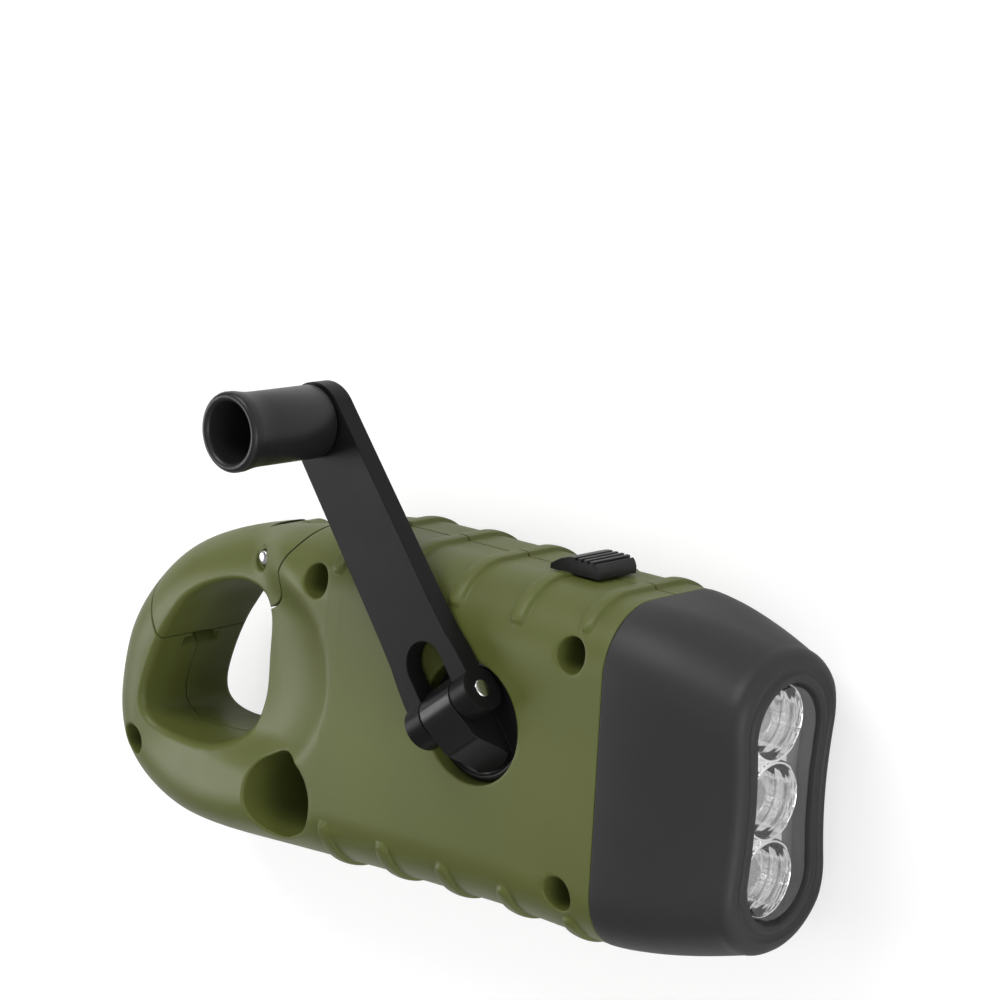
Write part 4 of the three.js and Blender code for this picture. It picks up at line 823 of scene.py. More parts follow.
    def solid(self, name: str, inset: float, ribs: bool = False) -> bpy.types.Object:
        """The whole closed form moved in by an inset.

        Args:
            name: name of the object.
            inset: distance inwards in millimetres.
            ribs: whether the ribs are raised on it.

        Returns:
            The object.
        """
        last = len(self.outline) - 1
        near = np.arange(last // 2 + 1)
        share = np.linspace(0, 1, self.face_steps + 1)[1:-1][None, :, None]
        loops, normals = [], []
        for side in (1, -1):
            one, one_out = self._edge(near, side, inset)
            two, two_out = self._edge(last - near, side, inset)
            across = one[:, -1:] * (1 - share) + two[:, -1:] * share
            across[..., 2] = S.middle + side * (S.middle - inset - self.drop(across))
            flat = np.broadcast_to(np.array([0.0, 0.0, side]), across.shape)
            loops.append(np.concatenate([one, across, two[:, ::-1]], 1)[:, ::side])
            normals.append(np.concatenate([one_out, flat, two_out[:, ::-1]], 1)[:, ::side])
        points = np.concatenate(loops, 1)
        if ribs:
            points = points + np.concatenate(normals, 1) * self.rib_height(points)[..., None]
            points[..., 2] = np.maximum(points[..., 2], 0)
        return surface(name, points, caps=(True, False))


@dataclass
class Shells:
    """The two body shells: skins of one wall thickness with their bosses, wells, pocket and recess.

    A span is a lowest and a highest value. A bore, boss, wall, room or seat that is given as a pair is its
    radius and the height where it starts or ends; the cells are a radius and half a length.
    """

    form: BodyForm
    inner: BodyForm
    skin_inset: float = 0.04
    neck_inset: float = 2.7
    neck_span_x: Point = (21.5, 29.0)
    throat_inset: float = 4.1
    hole_steps: int = 12
    hole_floor: float = -6.0
    hole_lip: float = 1.2
    gate_end_turn: Point = (188.0, 222.0)
    gate_crook_shares: tuple[Point, ...] = ((-0.66, 0.16), (-0.59, 0.3))
    gate_heel_radius: float = 7.5
    gate_heel_turn: Point = (-82.0, 0.0)
    gate_heel_steps: int = 30
    gate_back_shares: tuple[Point, ...] = ((-0.452, 0.86), (-0.43, 1.02), (-0.42, 1.3), (-0.98, 1.3))
    lug_radius: float = 4.6
    lug_turn: Point = (75.0, 285.0)
    lug_reach: float = 9.5
    lug_half: float = 3.5
    tongue_reach: float = 2.2
    tongue_bar: float = 1.1
    tongue_width: float = 4.0
    tongue_bar_width: float = 7.0
    tongue_steps: int = 10
    notch_turn: Point = (202.0, 232.0)
    boss_radius: float = 3.6
    well_radius: float = 2.5
    well_lip: float = 0.35
    shank_radius: float = 1.5
    shank_foot: float = 8.6
    cup_radius: float = 7.5
    cup_span: Point = (11.0, 15.2)
    pocket_radius: float = 6.3
    pocket_floor: float = 12.2
    pocket_lip: float = 0.5
    pocket_room: Point = (7.8, 10.7)
    pocket_stretch: float = 2.8
    recess_radius: float = 8.9
    recess_floor: float = 25.4
    recess_lip: float = 0.3
    recess_wall: Point = (10.9, 23.8)
    shaft_bore: float = 3.2
    axles: tuple[Corner, ...] = ((-19.95, 3.4, 22.3), (-16.378, -9.93, 19.3))
    axle_boss: float = 2.5
    axle_bore: Point = (1.2, 27.0)
    posts: tuple[Point, ...] = ((-34.4, 2.95), (10.0, -16.0), (-17.4, 19.4))
    post_boss: Point = (1.8, 12.8)
    post_bore: Point = (0.95, 17.8)
    switch_slot: tuple[Corner, Corner] = ((5.7, 20.6, 12.7), (11.8, 26.6, 16.3))
    cradle: tuple[Corner, Corner] = ((15.2, -5.8, BELOW), (21.5, 5.8, 7.4))
    rotor_seat: Point = (10.2, 3.0)
    cells: Point = (8.0, 12.0)
    cells_middle: Corner = (22.6, 0.0, 14.8)

    def hole_outline(self) -> np.ndarray:
        """Plan outline of the hole in the loop: a closed smooth curve.

        Returns:
            (n, 2) array of points.
        """
        points = placed(HOLE_SHARES)
        curve = catmull_rom(np.vstack([points[-2:], points, points[:2]]), self.hole_steps)
        return curve[2 * self.hole_steps:self.hole_steps * (len(points) + 2)]

    def gate_outline(self) -> np.ndarray:
        """Plan outline of the gate: its end face and its heel are arcs about the gate pin.

        Returns:
            (n, 2) array of points.
        """
        return np.vstack([
            arc(*S.gate_pin, S.gate_reach, *self.gate_end_turn, TINY_STEPS), placed(self.gate_crook_shares),
            arc(*S.gate_pin, self.gate_heel_radius, *self.gate_heel_turn, self.gate_heel_steps),
            placed(self.gate_back_shares),
        ])

    def lug_outline(self, grow: float = 0.0) -> np.ndarray:
        """Plan outline of the lug that the gate turns on.

        Args:
            grow: distance that it is made wider.

        Returns:
            (n, 2) array of points.
        """
        x, y = S.gate_pin
        radius = self.lug_radius + grow
        root = x + self.lug_reach + grow
        return np.vstack([
            arc(x, y, radius, *self.lug_turn, SMALL_STEPS), [[root, y - radius], [root, y + radius]],
        ])

    def tongue(self, name: str, clearance: float, start: float, end: float) -> bpy.types.Object:
        """The T shaped tongue on the gate's end, or with a clearance the notch that takes it.

        Args:
            name: name of the object.
            clearance: distance that it is made wider on every side.
            start: first angle about the gate pin in degrees.
            end: last angle.

        Returns:
            The object.
        """
        reach = S.gate_reach + self.tongue_reach + clearance

        def bar(inner: float, outer: float, width: float) -> bpy.types.Object:
            """A band about the gate pin between two radii, of a width across the flashlight.

            Args:
                inner: its inner radius.
                outer: its outer radius.
                width: its width, to which the clearance is added.

            Returns:
                The object.
            """
            plan = np.vstack([
                arc(*S.gate_pin, inner, start, end, self.tongue_steps),
                arc(*S.gate_pin, outer, end, start, self.tongue_steps),
            ])
            half = width / 2 + clearance
            return column(name, plan, S.middle - half, S.middle + half)

        whole = bar(S.gate_reach - S.wall, reach, self.tongue_width)
        carve(whole, bar(reach - self.tongue_bar - 2 * clearance, reach, self.tongue_bar_width), Carve.JOIN)
        return whole

    def hole_pit(self, side: Side) -> bpy.types.Object:
        """A tool for the loop's hole, with the lip of one side."""
        return self.form.pit("hole", self.hole_outline(), self.hole_floor, self.hole_lip, side)

    def pocket_outline(self, radius: float) -> np.ndarray:
        """Plan outline of the stow pocket, drawn out away from the hub.

        Args:
            radius: radius of its round ends.

        Returns:
            (n, 2) array of points.
        """
        away = math.atan2(POCKET[1] - S.hub_y, POCKET[0])
        angle = math.degrees(away)
        out = np.array(POCKET) + self.pocket_stretch * np.array([math.cos(away), math.sin(away)])
        return np.vstack([
            arc(*out, radius, angle - 90, angle + 90, SMALL_STEPS),
            arc(*POCKET, radius, angle + 90, angle + 270, SMALL_STEPS),
        ])

    def _kept(self, crank: bool) -> list[bpy.types.Object]:
        """Solids that stay solid inside a shell: the walls round its openings, its bosses and its seats.

        Args:
            crank: whether the shell is the one with the crank's face.

        Returns:
            The tools, in order.
        """
        kept = [
            column("ring", grown(self.hole_outline(), S.wall)),
            column("stop", grown(self.gate_outline(), S.wall + S.gap)),
        ]
        kept += [rod("boss", *screw, self.boss_radius) for screw in SCREWS]
        if crank:
            kept.append(column("cup", self.pocket_outline(self.cup_radius)))
            kept.append(rod("recess", 0, S.hub_y, *self.recess_wall, steps=WIDE_STEPS))
            kept += [rod("axle", x, y, self.axle_boss, low) for x, y, low in self.axles]
            kept += [rod("post", *post, *self.post_boss) for post in self.posts]
        else:
            kept.append(block("cradle", *self.cradle))
            kept.append(rod("seat", *S.rotor, self.rotor_seat[0], high=self.rotor_seat[1]))
        return kept

    def _cuts(self, side: Side) -> list[bpy.types.Object]:
        """Tools that are cut from a shell: its other half, the loop, the gate's room and every bore and pit.

        Args:
            side: which face the shell carries.

        Returns:
            The tools, in order.
        """
        crank = side is Side.CRANK
        room = column("room", grown(self.gate_outline(), S.gap))
        lug = column("lug", self.lug_outline(), S.middle - self.lug_half, S.middle + self.lug_half)
        carve(room, lug, Carve.CUT)
        away = (BELOW, S.middle + S.gap / 2) if crank else (S.middle - S.gap / 2, ABOVE)
        cuts = [
            block("half", (-2 * BEYOND, -BEYOND, away[0]), (BEYOND, BEYOND, away[1])),
            self.hole_pit(side), room, self.tongue("notch", S.gap, *self.notch_turn),
            rod("bore", *S.gate_pin, S.gate_pin_bore), block("slot", *self.switch_slot),
        ]
        for screw in SCREWS:
            if crank:
                well = circle(*screw, self.well_radius, PLAIN_STEPS)
                cuts.append(self.form.pit("well", well, S.screw_seat, self.well_lip, side))
            foot = 0 if crank else self.shank_foot
            cuts.append(rod("shank", *screw, self.shank_radius, foot, S.thickness, SMALL_STEPS))
        if crank:
            recess = circle(0, S.hub_y, self.recess_radius, FINE_STEPS)
            cuts.append(self.form.pit("recess", recess, self.recess_floor - S.middle, self.recess_lip, side))
            cuts.append(rod("shaft", 0, S.hub_y, self.shaft_bore, 0, S.thickness))
            bore, top = self.axle_bore
            cuts += [rod("axle", x, y, bore, 0, top, SMALL_STEPS) for x, y, _ in self.axles]
            bore, top = self.post_bore
            cuts += [rod("pilot", *post, bore, 0, top, TINY_STEPS) for post in self.posts]
            pocket = self.pocket_outline(self.pocket_radius)
            cuts.append(self.form.pit("pocket", pocket, self.pocket_floor - S.middle, self.pocket_lip, side))
        else:
            radius, half = self.cells
            profile = np.array([[0, -half], [radius, -half], [radius, half], [0, half]])
            cuts.append(revolved("cells", profile, self.cells_middle, ACROSS))
            cuts.append(column("pocket", self.pocket_outline(self.pocket_room[0]), self.pocket_room[1]))
        return cuts

    def build(self, side: Side, material: bpy.types.Material) -> None:
        """Builds one shell.

        Args:
            side: which face it carries.
            material: its finish.
        """
        crank = side is Side.CRANK
        far = (BEYOND, BEYOND, BEYOND)
        neck_back, neck_front = self.neck_span_x
        skin = self.form.solid("shell", self.skin_inset, ribs=True)
        carve(skin, block("ahead", (S.front_seam, -BEYOND, BELOW), far), Carve.CUT)
        neck = self.inner.solid("neck", self.neck_inset)
        carve(neck, block("room", (neck_back, -ABOVE, BELOW), (neck_front, ABOVE, BEYOND)), Carve.KEEP)
        carve(skin, neck, Carve.JOIN)
        cavity = self.inner.solid("cavity", S.wall)
        carve(cavity, block("ahead", (neck_back, -BEYOND, BELOW), far), Carve.CUT)
        carve(cavity, self.inner.solid("throat", self.throat_inset), Carve.JOIN)
        carve_all(cavity, self._kept(crank), Carve.CUT)
        carve(skin, cavity, Carve.CUT)
        carve_all(skin, self._cuts(side), Carve.CUT)
        if crank:
            cup = column("cup", self.pocket_outline(self.cup_radius), *self.cup_span)
            pocket = column("pocket", self.pocket_outline(self.pocket_radius), self.pocket_floor)
            carve(cup, pocket, Carve.CUT)
            carve(skin, cup, Carve.JOIN)
        place = "crank_side" if crank else "back_side"
        finish_piece(skin, f"{place}_shell", "housing", f"shell_{place}", material)


@dataclass
class Gate:
    """The sprung gate of the loop, its pin and its torsion spring."""

    form: BodyForm
    shells: Shells
    slot_grow: float = 0.6
    slot_span: Point = (7.7, 18.3)
    heel_radius: float = 11.5
    heel_foot: float = 10.7
    heel_half: float = 15.0
    mouth_radius: float = 1.9
    mouth_floor: float = 22.4
    mouth_lip: float = 0.3
    tongue_turn: Point = (203.5, 213.0)
    pin_radius: float = 1.1
    pin_chamfer: float = 0.3
    pin_dome: tuple[Point, ...] = ((0.0, -0.35), (-0.1, -0.15), (-0.35, 0.0))
    pin_under: float = 0.8
    coil_radius: float = 2.1
    coil_top: float = 10.35
    coil_height: float = 2.0
    coil_wire: float = 0.2
    coil_turns: int = 3
    wire_steps: int = 10

    def build(self, green: bpy.types.Material, steel: bpy.types.Material) -> None:
        """Builds the gate, the pin and the spring.

        Args:
            green: finish of the gate.
            steel: finish of the pin and the spring.
        """
        x, y = S.gate_pin
        body = self.form.solid("gate", self.shells.skin_inset)
        carve(body, column("plan", self.shells.gate_outline()), Carve.KEEP)
        carve_all(body, [self.shells.hole_pit(side) for side in Side], Carve.CUT)
        heel = rod("heel", x, y, self.heel_radius, self.heel_foot, self.slot_span[1])
        carve(heel, block("beyond", (x, y - self.heel_half, 0), (0, y + self.heel_half, ABOVE)), Carve.KEEP)
        mouth = circle(x, y, self.mouth_radius, PLAIN_STEPS)
        carve_all(body, [
            column("slot", self.shells.lug_outline(self.slot_grow), *self.slot_span), heel,
            rod("bore", x, y, S.gate_pin_bore),
            self.form.pit("mouth", mouth, self.mouth_floor - S.middle, self.mouth_lip, Side.CRANK),
        ], Carve.CUT)
        tongue = self.shells.tongue("tongue", 0.0, *self.tongue_turn)
        carve(tongue, column("hole", self.shells.hole_outline()), Carve.CUT)
        carve(body, tongue, Carve.JOIN)
        finish_piece(body, "gate", "gate", "carabiner_gate", green)
        self._pin(steel)
        self._spring(steel)

    def _pin(self, steel: bpy.types.Material) -> None:
        """Builds the pin, with its rounded head just under the skin of the loop.

        Args:
            steel: its finish.
        """
        low = S.loop_drop + self.pin_under
        high = S.thickness - S.loop_drop - self.pin_under
        radius = self.pin_radius
        profile = np.vstack([
            [[0, low], [radius - self.pin_chamfer, low], [radius, low + self.pin_chamfer]],
            np.array(self.pin_dome) + np.array([radius, high]), [[0, high]],
        ])
        pin = revolved("pin", profile, (*S.gate_pin, 0), UP, PLAIN_STEPS)
        finish_piece(pin, "gate_hinge_pin", "housing", "gate_pin", steel)

    def _spring(self, steel: bpy.types.Material) -> None:
        """Builds the spring: a helix of wire round the pin.

        Args:
            steel: its finish.
        """
        t = np.linspace(0, 1, SMALL_STEPS * self.coil_turns + 1)
        angle = 2 * np.pi * self.coil_turns * t
        helix = np.column_stack([
            self.coil_radius * np.cos(angle), self.coil_radius * np.sin(angle),
            self.coil_top - self.coil_height * t,
        ]) + np.array([*S.gate_pin, 0])
        spring = tube("spring", helix, self.coil_wire, self.wire_steps)
        finish_piece(spring, "gate_torsion_spring", "gate", "gate_spring", steel)


# Head


@dataclass
class Head:
    """The head cover, its window, the reflector plate with three cups and the lamps.

    The dish is given as shares of the way from lip to window, with depths; the rim as distances outside the
    window, with depths; the hollow as X, with the share of the head's form; the rim of a cup as radius and X.
    """

    lamps_y: Corner = (-11.0, 0.0, 11.0)
    window_reach: float = 16.4
    window_half: float = 6.4
    window_waist: float = 0.7
    search_steps: int = 160
    front_half_width: float = 21.3
    front_half_height: float = 12.0
    front_radius: float = 11.6
    front_waist: float = 1.7
    waist_blend: float = 0.6
    taper: float = 1.6
    corner_steps: int = 18
    across_steps: int = 25
    upright_steps: int = 7
    flank_rings: int = 26
    lip_rings: int = 9
    lip: float = 2.2
    wall: float = 1.6
    dish_edge: float = 1.6
    dish: tuple[Point, ...] = ((0.25, 0.18), (0.5, 0.3), (0.75, 0.3), (0.92, 0.12))
    rim: tuple[Point, ...] = ((1.5, 0.0), (0.9, 0.0), (0.5, 0.12), (0.3, 0.45), (0.3, 4.0))
    hollow: tuple[Point, ...] = ((40.5, 0.9), (38.9, 0.8), (33.0, 0.5), (28.0, 0.25))
    lens_span: Point = (42.7, 43.9)
    lens_edge: float = 0.25
    plate_span: Point = (34.2, 41.9)
    plate_inset: float = 0.3
    plate_edge: float = 0.2
    flange_span: Point = (38.9, 40.2)
    flange_reach: float = 1.3
    flange_edge: float = 0.15
    cup_rim: tuple[Point, ...] = (
        (4.6, 41.3), (5.65, 41.3), (5.62, 42.2), (5.45, 42.38), (5.2, 42.38), (4.9, 42.1),
    )
    bowl_radius: Point = (2.8, 2.35)
    bowl_start: float = 34.3
    bowl_depth: float = 8.1
    bowl_ripple: float = 0.07
    bowl_ripples: int = 4
    bowl_rings: int = 41
    bowl_back: float = 31.0
    bowl_mouth: Point = (5.2, 44.0)
    lamp_back: float = 33.25
    lamp_radius: float = 2.5
    lamp_flange: float = 2.9
    lamp_flange_depth: float = 0.8
    lamp_barrel: float = 4.9
    dome_rings: int = 14

    def ring(self, x: np.ndarray, share: np.ndarray, inset: np.ndarray) -> np.ndarray:
        """Rings across the head: rounded rectangles that get smaller, rounder and waisted to the front.

        Half width and half height ease from those of the body to those of the front. The waist takes up
        to 1.7 mm off the height at the middle, by the cosine of the distance across.

        Args:
            x: X of each ring.
            share: share of the head's length at which its form is taken.
            inset: distance that each ring is moved in.

        Returns:
            (rings, points, 3) array.
        """
        ease = (share**self.taper)[:, None]
        mix = share[:, None]
        half_y = S.half_width + (self.front_half_width - S.half_width) * ease - inset[:, None]
        half_z = S.middle + (self.front_half_height - S.middle) * ease - inset[:, None]
        radius = S.edge_radius + (self.front_radius - S.edge_radius) * mix - inset[:, None]
        corner = np.linspace(0, np.pi / 2, self.corner_steps)[None, :]
        line = np.linspace(0, 1, self.across_steps + 1)[1:-1][None, :]
        flank = np.linspace(0, 1, self.upright_steps + 1)[1:-1][None, :]
        pieces = []
        for quarter, (sy, sz) in enumerate(((1, 1), (-1, 1), (-1, -1), (1, -1))):
            turn = corner + quarter * np.pi / 2
            cy, cz = sy * (half_y - radius), sz * (half_z - radius)
            pieces.append(np.stack([cy + radius * np.cos(turn), cz + radius * np.sin(turn)], -1))
            if sy == sz:
                across = cy * (1 - 2 * line)
                pieces.append(np.stack([across, np.broadcast_to(sz * half_z, across.shape)], -1))
            else:
                height = cz * (1 - 2 * flank)
                pieces.append(np.stack([np.broadcast_to(sy * half_y, height.shape), height], -1))
        flat = np.concatenate(pieces, 1)
        y, z = flat[..., 0], flat[..., 1]
        pinch = self.front_waist * ease * np.maximum(0, np.cos(np.pi * y / (2 * (half_y - radius / 2))))
        z = z - np.sign(z) * pinch * np.minimum(1, np.abs(z) / (half_z * self.waist_blend))
        return np.stack([np.broadcast_to(x[:, None], y.shape), y, S.middle + z], -1)

    def window(self, grow: float, quarter_steps: int = 40) -> np.ndarray:
        """Waisted outline of the window as (y, z) about the middle, anticlockwise from +Y.

        Args:
            grow: distance that it is made wider.
            quarter_steps: steps of each of its four stretches.

        Returns:
            (n, 2) array of points.
        """
        straight = self.window_reach - self.window_half
        half = self.window_half + grow
        line = np.linspace(1, -1, quarter_steps)[1:-1] * straight
        level = np.full(len(line), half)
        points = np.vstack([
            arc(straight, 0, half, -90, 90, quarter_steps), np.column_stack([line, level]),
            arc(-straight, 0, half, 90, 270, quarter_steps), np.column_stack([-line, -level]),
        ])
        pinch = self.window_waist * np.maximum(0, np.cos(np.pi * points[:, 0] / (2 * straight)))
        points[:, 1] -= np.sign(points[:, 1]) * pinch
        return points

    def window_at(self, like: np.ndarray, grow: float, x: float) -> np.ndarray:
        """Points of the window outline in the same directions from the middle as a ring's points.

        Args:
            like: (n, 3) array of the ring's points.
            grow: distance that the outline is made wider.
            x: X of the points.

        Returns:
            (n, 3) array of points.
        """
        points = self.window(grow, self.search_steps)
        angle = np.arctan2(points[:, 1], points[:, 0])
        order = np.argsort(angle)
        reach = np.hypot(points[order, 0], points[order, 1])
        want = np.arctan2(like[:, 2] - S.middle, like[:, 1])
        far = np.interp(want, angle[order], reach, period=2 * np.pi)
        return np.column_stack([np.full(len(want), x), far * np.cos(want), S.middle + far * np.sin(want)])

    def cover(self, material: bpy.types.Material) -> None:
        """Builds the cover: the flank, the rounded lip, the front face, the window wall and the hollow.

        Args:
            material: its finish.
        """
        front = S.head_front
        back = S.front_seam + S.gap / 2
        length = front - back
        share = np.linspace(0, 1 - self.lip / length, self.flank_rings)
        turn = np.linspace(0, np.pi / 2, self.lip_rings + 1)[1:]
        outside = self.ring(
            np.concatenate([back + length * share, front - self.lip + self.lip * np.sin(turn)]),
            np.concatenate([share / share[-1], np.ones(len(turn))]),
            np.concatenate([np.zeros(len(share)), self.lip * (1 - np.cos(turn))]),
        )
        face = outside[-1]
        edge = self.window_at(face, self.dish_edge, front)
        dish = [face * (1 - t) + edge * t for t, _ in self.dish]
        for row, (_, depth) in zip(dish, self.dish):
            row[:, 0] = front - depth
        rim = [self.window_at(face, grow, front - depth) for grow, depth in self.rim]
        x, form = np.array([*self.hollow, (back, 0.0)]).T
        within = self.ring(x, form, np.full(len(x), self.wall))
        piece = surface("cover", np.stack([*outside, *dish, *rim, *within]), wrap_rows=True)
        finish_piece(piece, "head_cover_shell", "housing", "head_cover", material)

    def plate(self, name: str, span: Point, grow: float, edge: float) -> bpy.types.Object:
        """A plate with the window's outline, its two rims rounded by an edge.

        Args:
            name: name of the object.
            span: X of its back and of its front.
            grow: distance that it is wider than the window.
            edge: size of the edge.

        Returns:
            The object.
        """
        back, front = span
        rows = []
        for x, inset in ((back, edge), (back + edge, 0), (front - edge, 0), (front, edge)):
            outline = self.window(grow - inset)
            rows.append(np.column_stack([np.full(len(outline), x), outline[:, 0], S.middle + outline[:, 1]]))
        return surface(name, np.stack(rows))

    def lamps(self, chrome: bpy.types.Material, clear: bpy.types.Material, dome: bpy.types.Material) -> None:
        """Builds the lens, the reflector plate with its deep cups and rims, and the lamps.

        A cup's radius grows by the square root of the depth, less a ripple of four rings.

        Args:
            chrome: finish of the reflector.
            clear: finish of the lens.
            dome: finish of the lamps.
        """
        lens = self.plate("lens", self.lens_span, 0.0, self.lens_edge)
        finish_piece(lens, "window_lens", "housing", "lamp_lens", clear)
        plate = self.plate("plate", self.plate_span, -self.plate_inset, self.plate_edge)
        carve(plate, self.plate("flange", self.flange_span, self.flange_reach, self.flange_edge), Carve.JOIN)
        depth = np.linspace(0, 1, self.bowl_rings)
        ripple = self.bowl_ripple * np.abs(np.sin(self.bowl_ripples * np.pi * depth))
        bowl = np.column_stack([
            self.bowl_radius[0] + self.bowl_radius[1] * np.sqrt(depth) - ripple,
            self.bowl_start + self.bowl_depth * depth,
        ])
        hole = np.vstack([
            [[0, self.bowl_back], [self.bowl_radius[0], self.bowl_back]], bowl,
            [self.bowl_mouth, [0, self.bowl_mouth[1]]],
        ])
        for y in self.lamps_y:
            place = (0, y, S.middle)
            carve(plate, revolved("rim", np.array(self.cup_rim), place, ALONG, WIDE_STEPS), Carve.JOIN)
            carve(plate, revolved("bowl", hole, place, ALONG, WIDE_STEPS), Carve.CUT)
        finish_piece(plate, "reflector_plate", "housing", "reflector", chrome)
        back, radius = self.lamp_back, self.lamp_radius
        step = back + self.lamp_flange_depth
        turn = np.linspace(0, np.pi / 2, self.dome_rings)
        profile = np.vstack([
            [[0, back], [self.lamp_flange, back], [self.lamp_flange, step], [radius, step]],
            np.column_stack([radius * np.cos(turn), back + self.lamp_barrel + radius * np.sin(turn)]),
        ])
        profile[-1, 0] = 0
        for i, y in enumerate(self.lamps_y, 1):
            lamp = revolved("lamp", profile, (0, y, S.middle), ALONG, PLAIN_STEPS)
            finish_piece(lamp, f"lamp_{i}", "housing", f"led_{i}", dome)


# Crank


@dataclass
class Crank:
    """The crank: hub disc with its lug, fork arm, hinge pin, knob and knob screw.

    Pieces are worked out with the arm along +X and the hub axis at the origin, then turned to the arm's
    direction and moved to the hub. The lug's outline is (x, z). Every other profile is (radius, height):
    over the disc's top, the knob's foot, the knob's top for its rim and mouth, or the screw's seat.
    """

    disc_top: float = 27.3
    disc: tuple[Point, ...] = (
        (0, -1.6), (8.6, -1.6), (8.6, -0.3), (8.5, -0.08), (8.3, 0.02), (7.95, 0.02), (7.7, -0.15),
        (7.5, -0.25), (0, -0.25),
    )
    shaft_radius: float = 3.0
    shaft_foot: float = 12.6
    overlap: float = 0.5
    lug: tuple[Point, ...] = (
        (-7.3, 26.8), (-7.25, 27.5), (-5.6, 28.8), (-3.4, 31.9), (-2.8, 32.6), (0.9, 33.9), (2.5, 34.2),
        (4.6, 33.2), (5.8, 31.8), (6.6, 30.2), (7.0, 28.6), (7.1, 26.8),
    )
    lug_half: float = 3.3
    lug_round: float = 7.3
    lug_round_foot: float = 20.0
    lug_edge: float = 0.3
    knuckle: float = 3.3
    pin_bore: float = 1.2
    pin_bore_half: float = 20.0
    edge_steps: int = 3
    fork_half: float = 6.9
    fork_narrowing: tuple[Point, ...] = ((3.3, 0.0), (6.4, 0.0), (9.0, 0.2), (12.0, 0.65), (16.3, 0.85))
    arm_span: Point = (29.6, 32.6)
    arm_edge: float = 0.32
    tip_radius: float = 5.6
    tip_turn: float = 87.0
    slot_half: float = 3.6
    slot_steps: int = 40
    slot_span_x: Point = (-9.0, 9.3)
    post_radius: float = 2.2
    post_height: float = 2.6
    thread_radius: float = 1.1
    thread_floor: float = 0.3
    knob_foot: float = 32.9
    knob_height: float = 16.2
    knob_foot_profile: tuple[Point, ...] = ((2.4, 0.0), (4.9, 0.0), (5.15, 0.12), (5.3, 0.4))
    knob_barrel: float = 5.3
    knob_flare: float = 0.38
    flare_start: float = -5.2
    flare_length: float = 3.6
    flare_rings: int = 12
    rim_middle: Point = (5.02, -0.7)
    rim_radii: Point = (0.68, 0.7)
    rim_rings: int = 14
    knob_mouth: Point = (4.32, -3.0)
    knob_floor_profile: tuple[Point, ...] = ((4.3, 2.4), (4.1, 2.0), (2.4, 2.0))
    pin_head: tuple[Point, ...] = ((0, 0.0), (0.8, 0.03), (1.2, 0.12), (1.35, 0.27), (1.0, 0.28))
    pin_past: float = 0.3
    screw_seat: float = 35.5
    screw: tuple[Point, ...] = (
        (0, -5.3), (0.9, -5.3), (0.9, 0.0), (3.2, 0.0), (3.2, 0.5), (2.9, 1.0), (2.2, 1.3), (0, 1.3),
    )

    @property
    def tip(self) -> float:
        """X of the knob's axis."""
        return S.hinge_offset + S.arm_reach

    def settle(self, item: bpy.types.Object) -> bpy.types.Object:
        """Turns a piece into place in its mesh.

        Args:
            item: the piece.

        Returns:
            The same piece.
        """
        turn = Matrix.Rotation(math.radians(S.arm_direction), 4, "Z")
        item.data.transform(Matrix.Translation((0, S.hub_y * MM, 0)) @ turn)
        return item

    def bar(self, name: str, radius: float, half: float, steps: int = 64) -> bpy.types.Object:
        """A round bar across the arm on the hinge's axis, as long as twice the half length."""
        profile = np.array([[0, -half], [radius, -half], [radius, half], [0, half]])
        return revolved(name, profile, (S.hinge_offset, 0, S.hinge_z), ACROSS, steps)

    def hub(self, material: bpy.types.Material) -> None:
        """Builds the disc with its bright rim, the sloping lug, the knuckle and the shaft.

        Args:
            material: its finish.
        """
        profile = np.array(self.disc) + np.array([0, self.disc_top])
        body = revolved("disc", profile, (0, 0, 0), UP, FINE_STEPS)
        shaft = rod("shaft", 0, 0, self.shaft_radius, self.shaft_foot, self.disc_top - self.overlap)
        carve(body, shaft, Carve.JOIN)
        side = np.array(self.lug)
        lug = surface("lug", np.stack([
            np.column_stack([side[:, 0], np.full(len(side), y), side[:, 1]])
            for y in (-self.lug_half, self.lug_half)
        ]))
        carve(lug, self.bar("knuckle", self.knuckle, self.lug_half, WIDE_STEPS), Carve.JOIN)
        carve(lug, rod("round", 0, 0, self.lug_round, self.lug_round_foot, steps=WIDE_STEPS), Carve.KEEP)
        carve(lug, self.bar("bore", self.pin_bore, self.pin_bore_half), Carve.CUT)
        soften(lug, self.lug_edge, self.edge_steps)
        carve(body, lug, Carve.JOIN)
        finish_piece(self.settle(body), "hub_disc", "hub", "crank_hub", material, True)

    def arm(self, material: bpy.types.Material) -> None:
        """Builds the tapering fork arm with its slot, knuckles and knob post.

        Args:
            material: its finish.
        """
        low, high = self.arm_span
        x, narrowing = np.array(self.fork_narrowing).T
        half = self.fork_half - narrowing
        plan = np.vstack([
            np.column_stack([x, -half]),
            arc(self.tip, 0, self.tip_radius, -self.tip_turn, self.tip_turn, PLAIN_STEPS),
            np.column_stack([x, half])[::-1],
        ])
        body = column("arm", plan, low, high)
        carve(body, self.bar("ears", self.knuckle, self.fork_half, WIDE_STEPS), Carve.JOIN)
        start, end = self.slot_span_x
        slot = np.vstack([
            [[start, -self.slot_half]], arc(end, 0, self.slot_half, -90, 90, self.slot_steps),
            [[start, self.slot_half]],
        ])
        carve(body, column("slot", slot, 0, BEYOND), Carve.CUT)
        carve(body, self.bar("bore", self.pin_bore, self.pin_bore_half), Carve.CUT)
        soften(body, self.arm_edge, self.edge_steps)
        foot, top = high - self.overlap, high + self.post_height
        carve(body, rod("post", self.tip, 0, self.post_radius, foot, top, PLAIN_STEPS), Carve.JOIN)
        thread = rod("thread", self.tip, 0, self.thread_radius, low + self.thread_floor, BEYOND, SMALL_STEPS)
        carve(body, thread, Carve.CUT)
        finish_piece(self.settle(body), "fork_arm", "arm", "crank_arm", material, True)

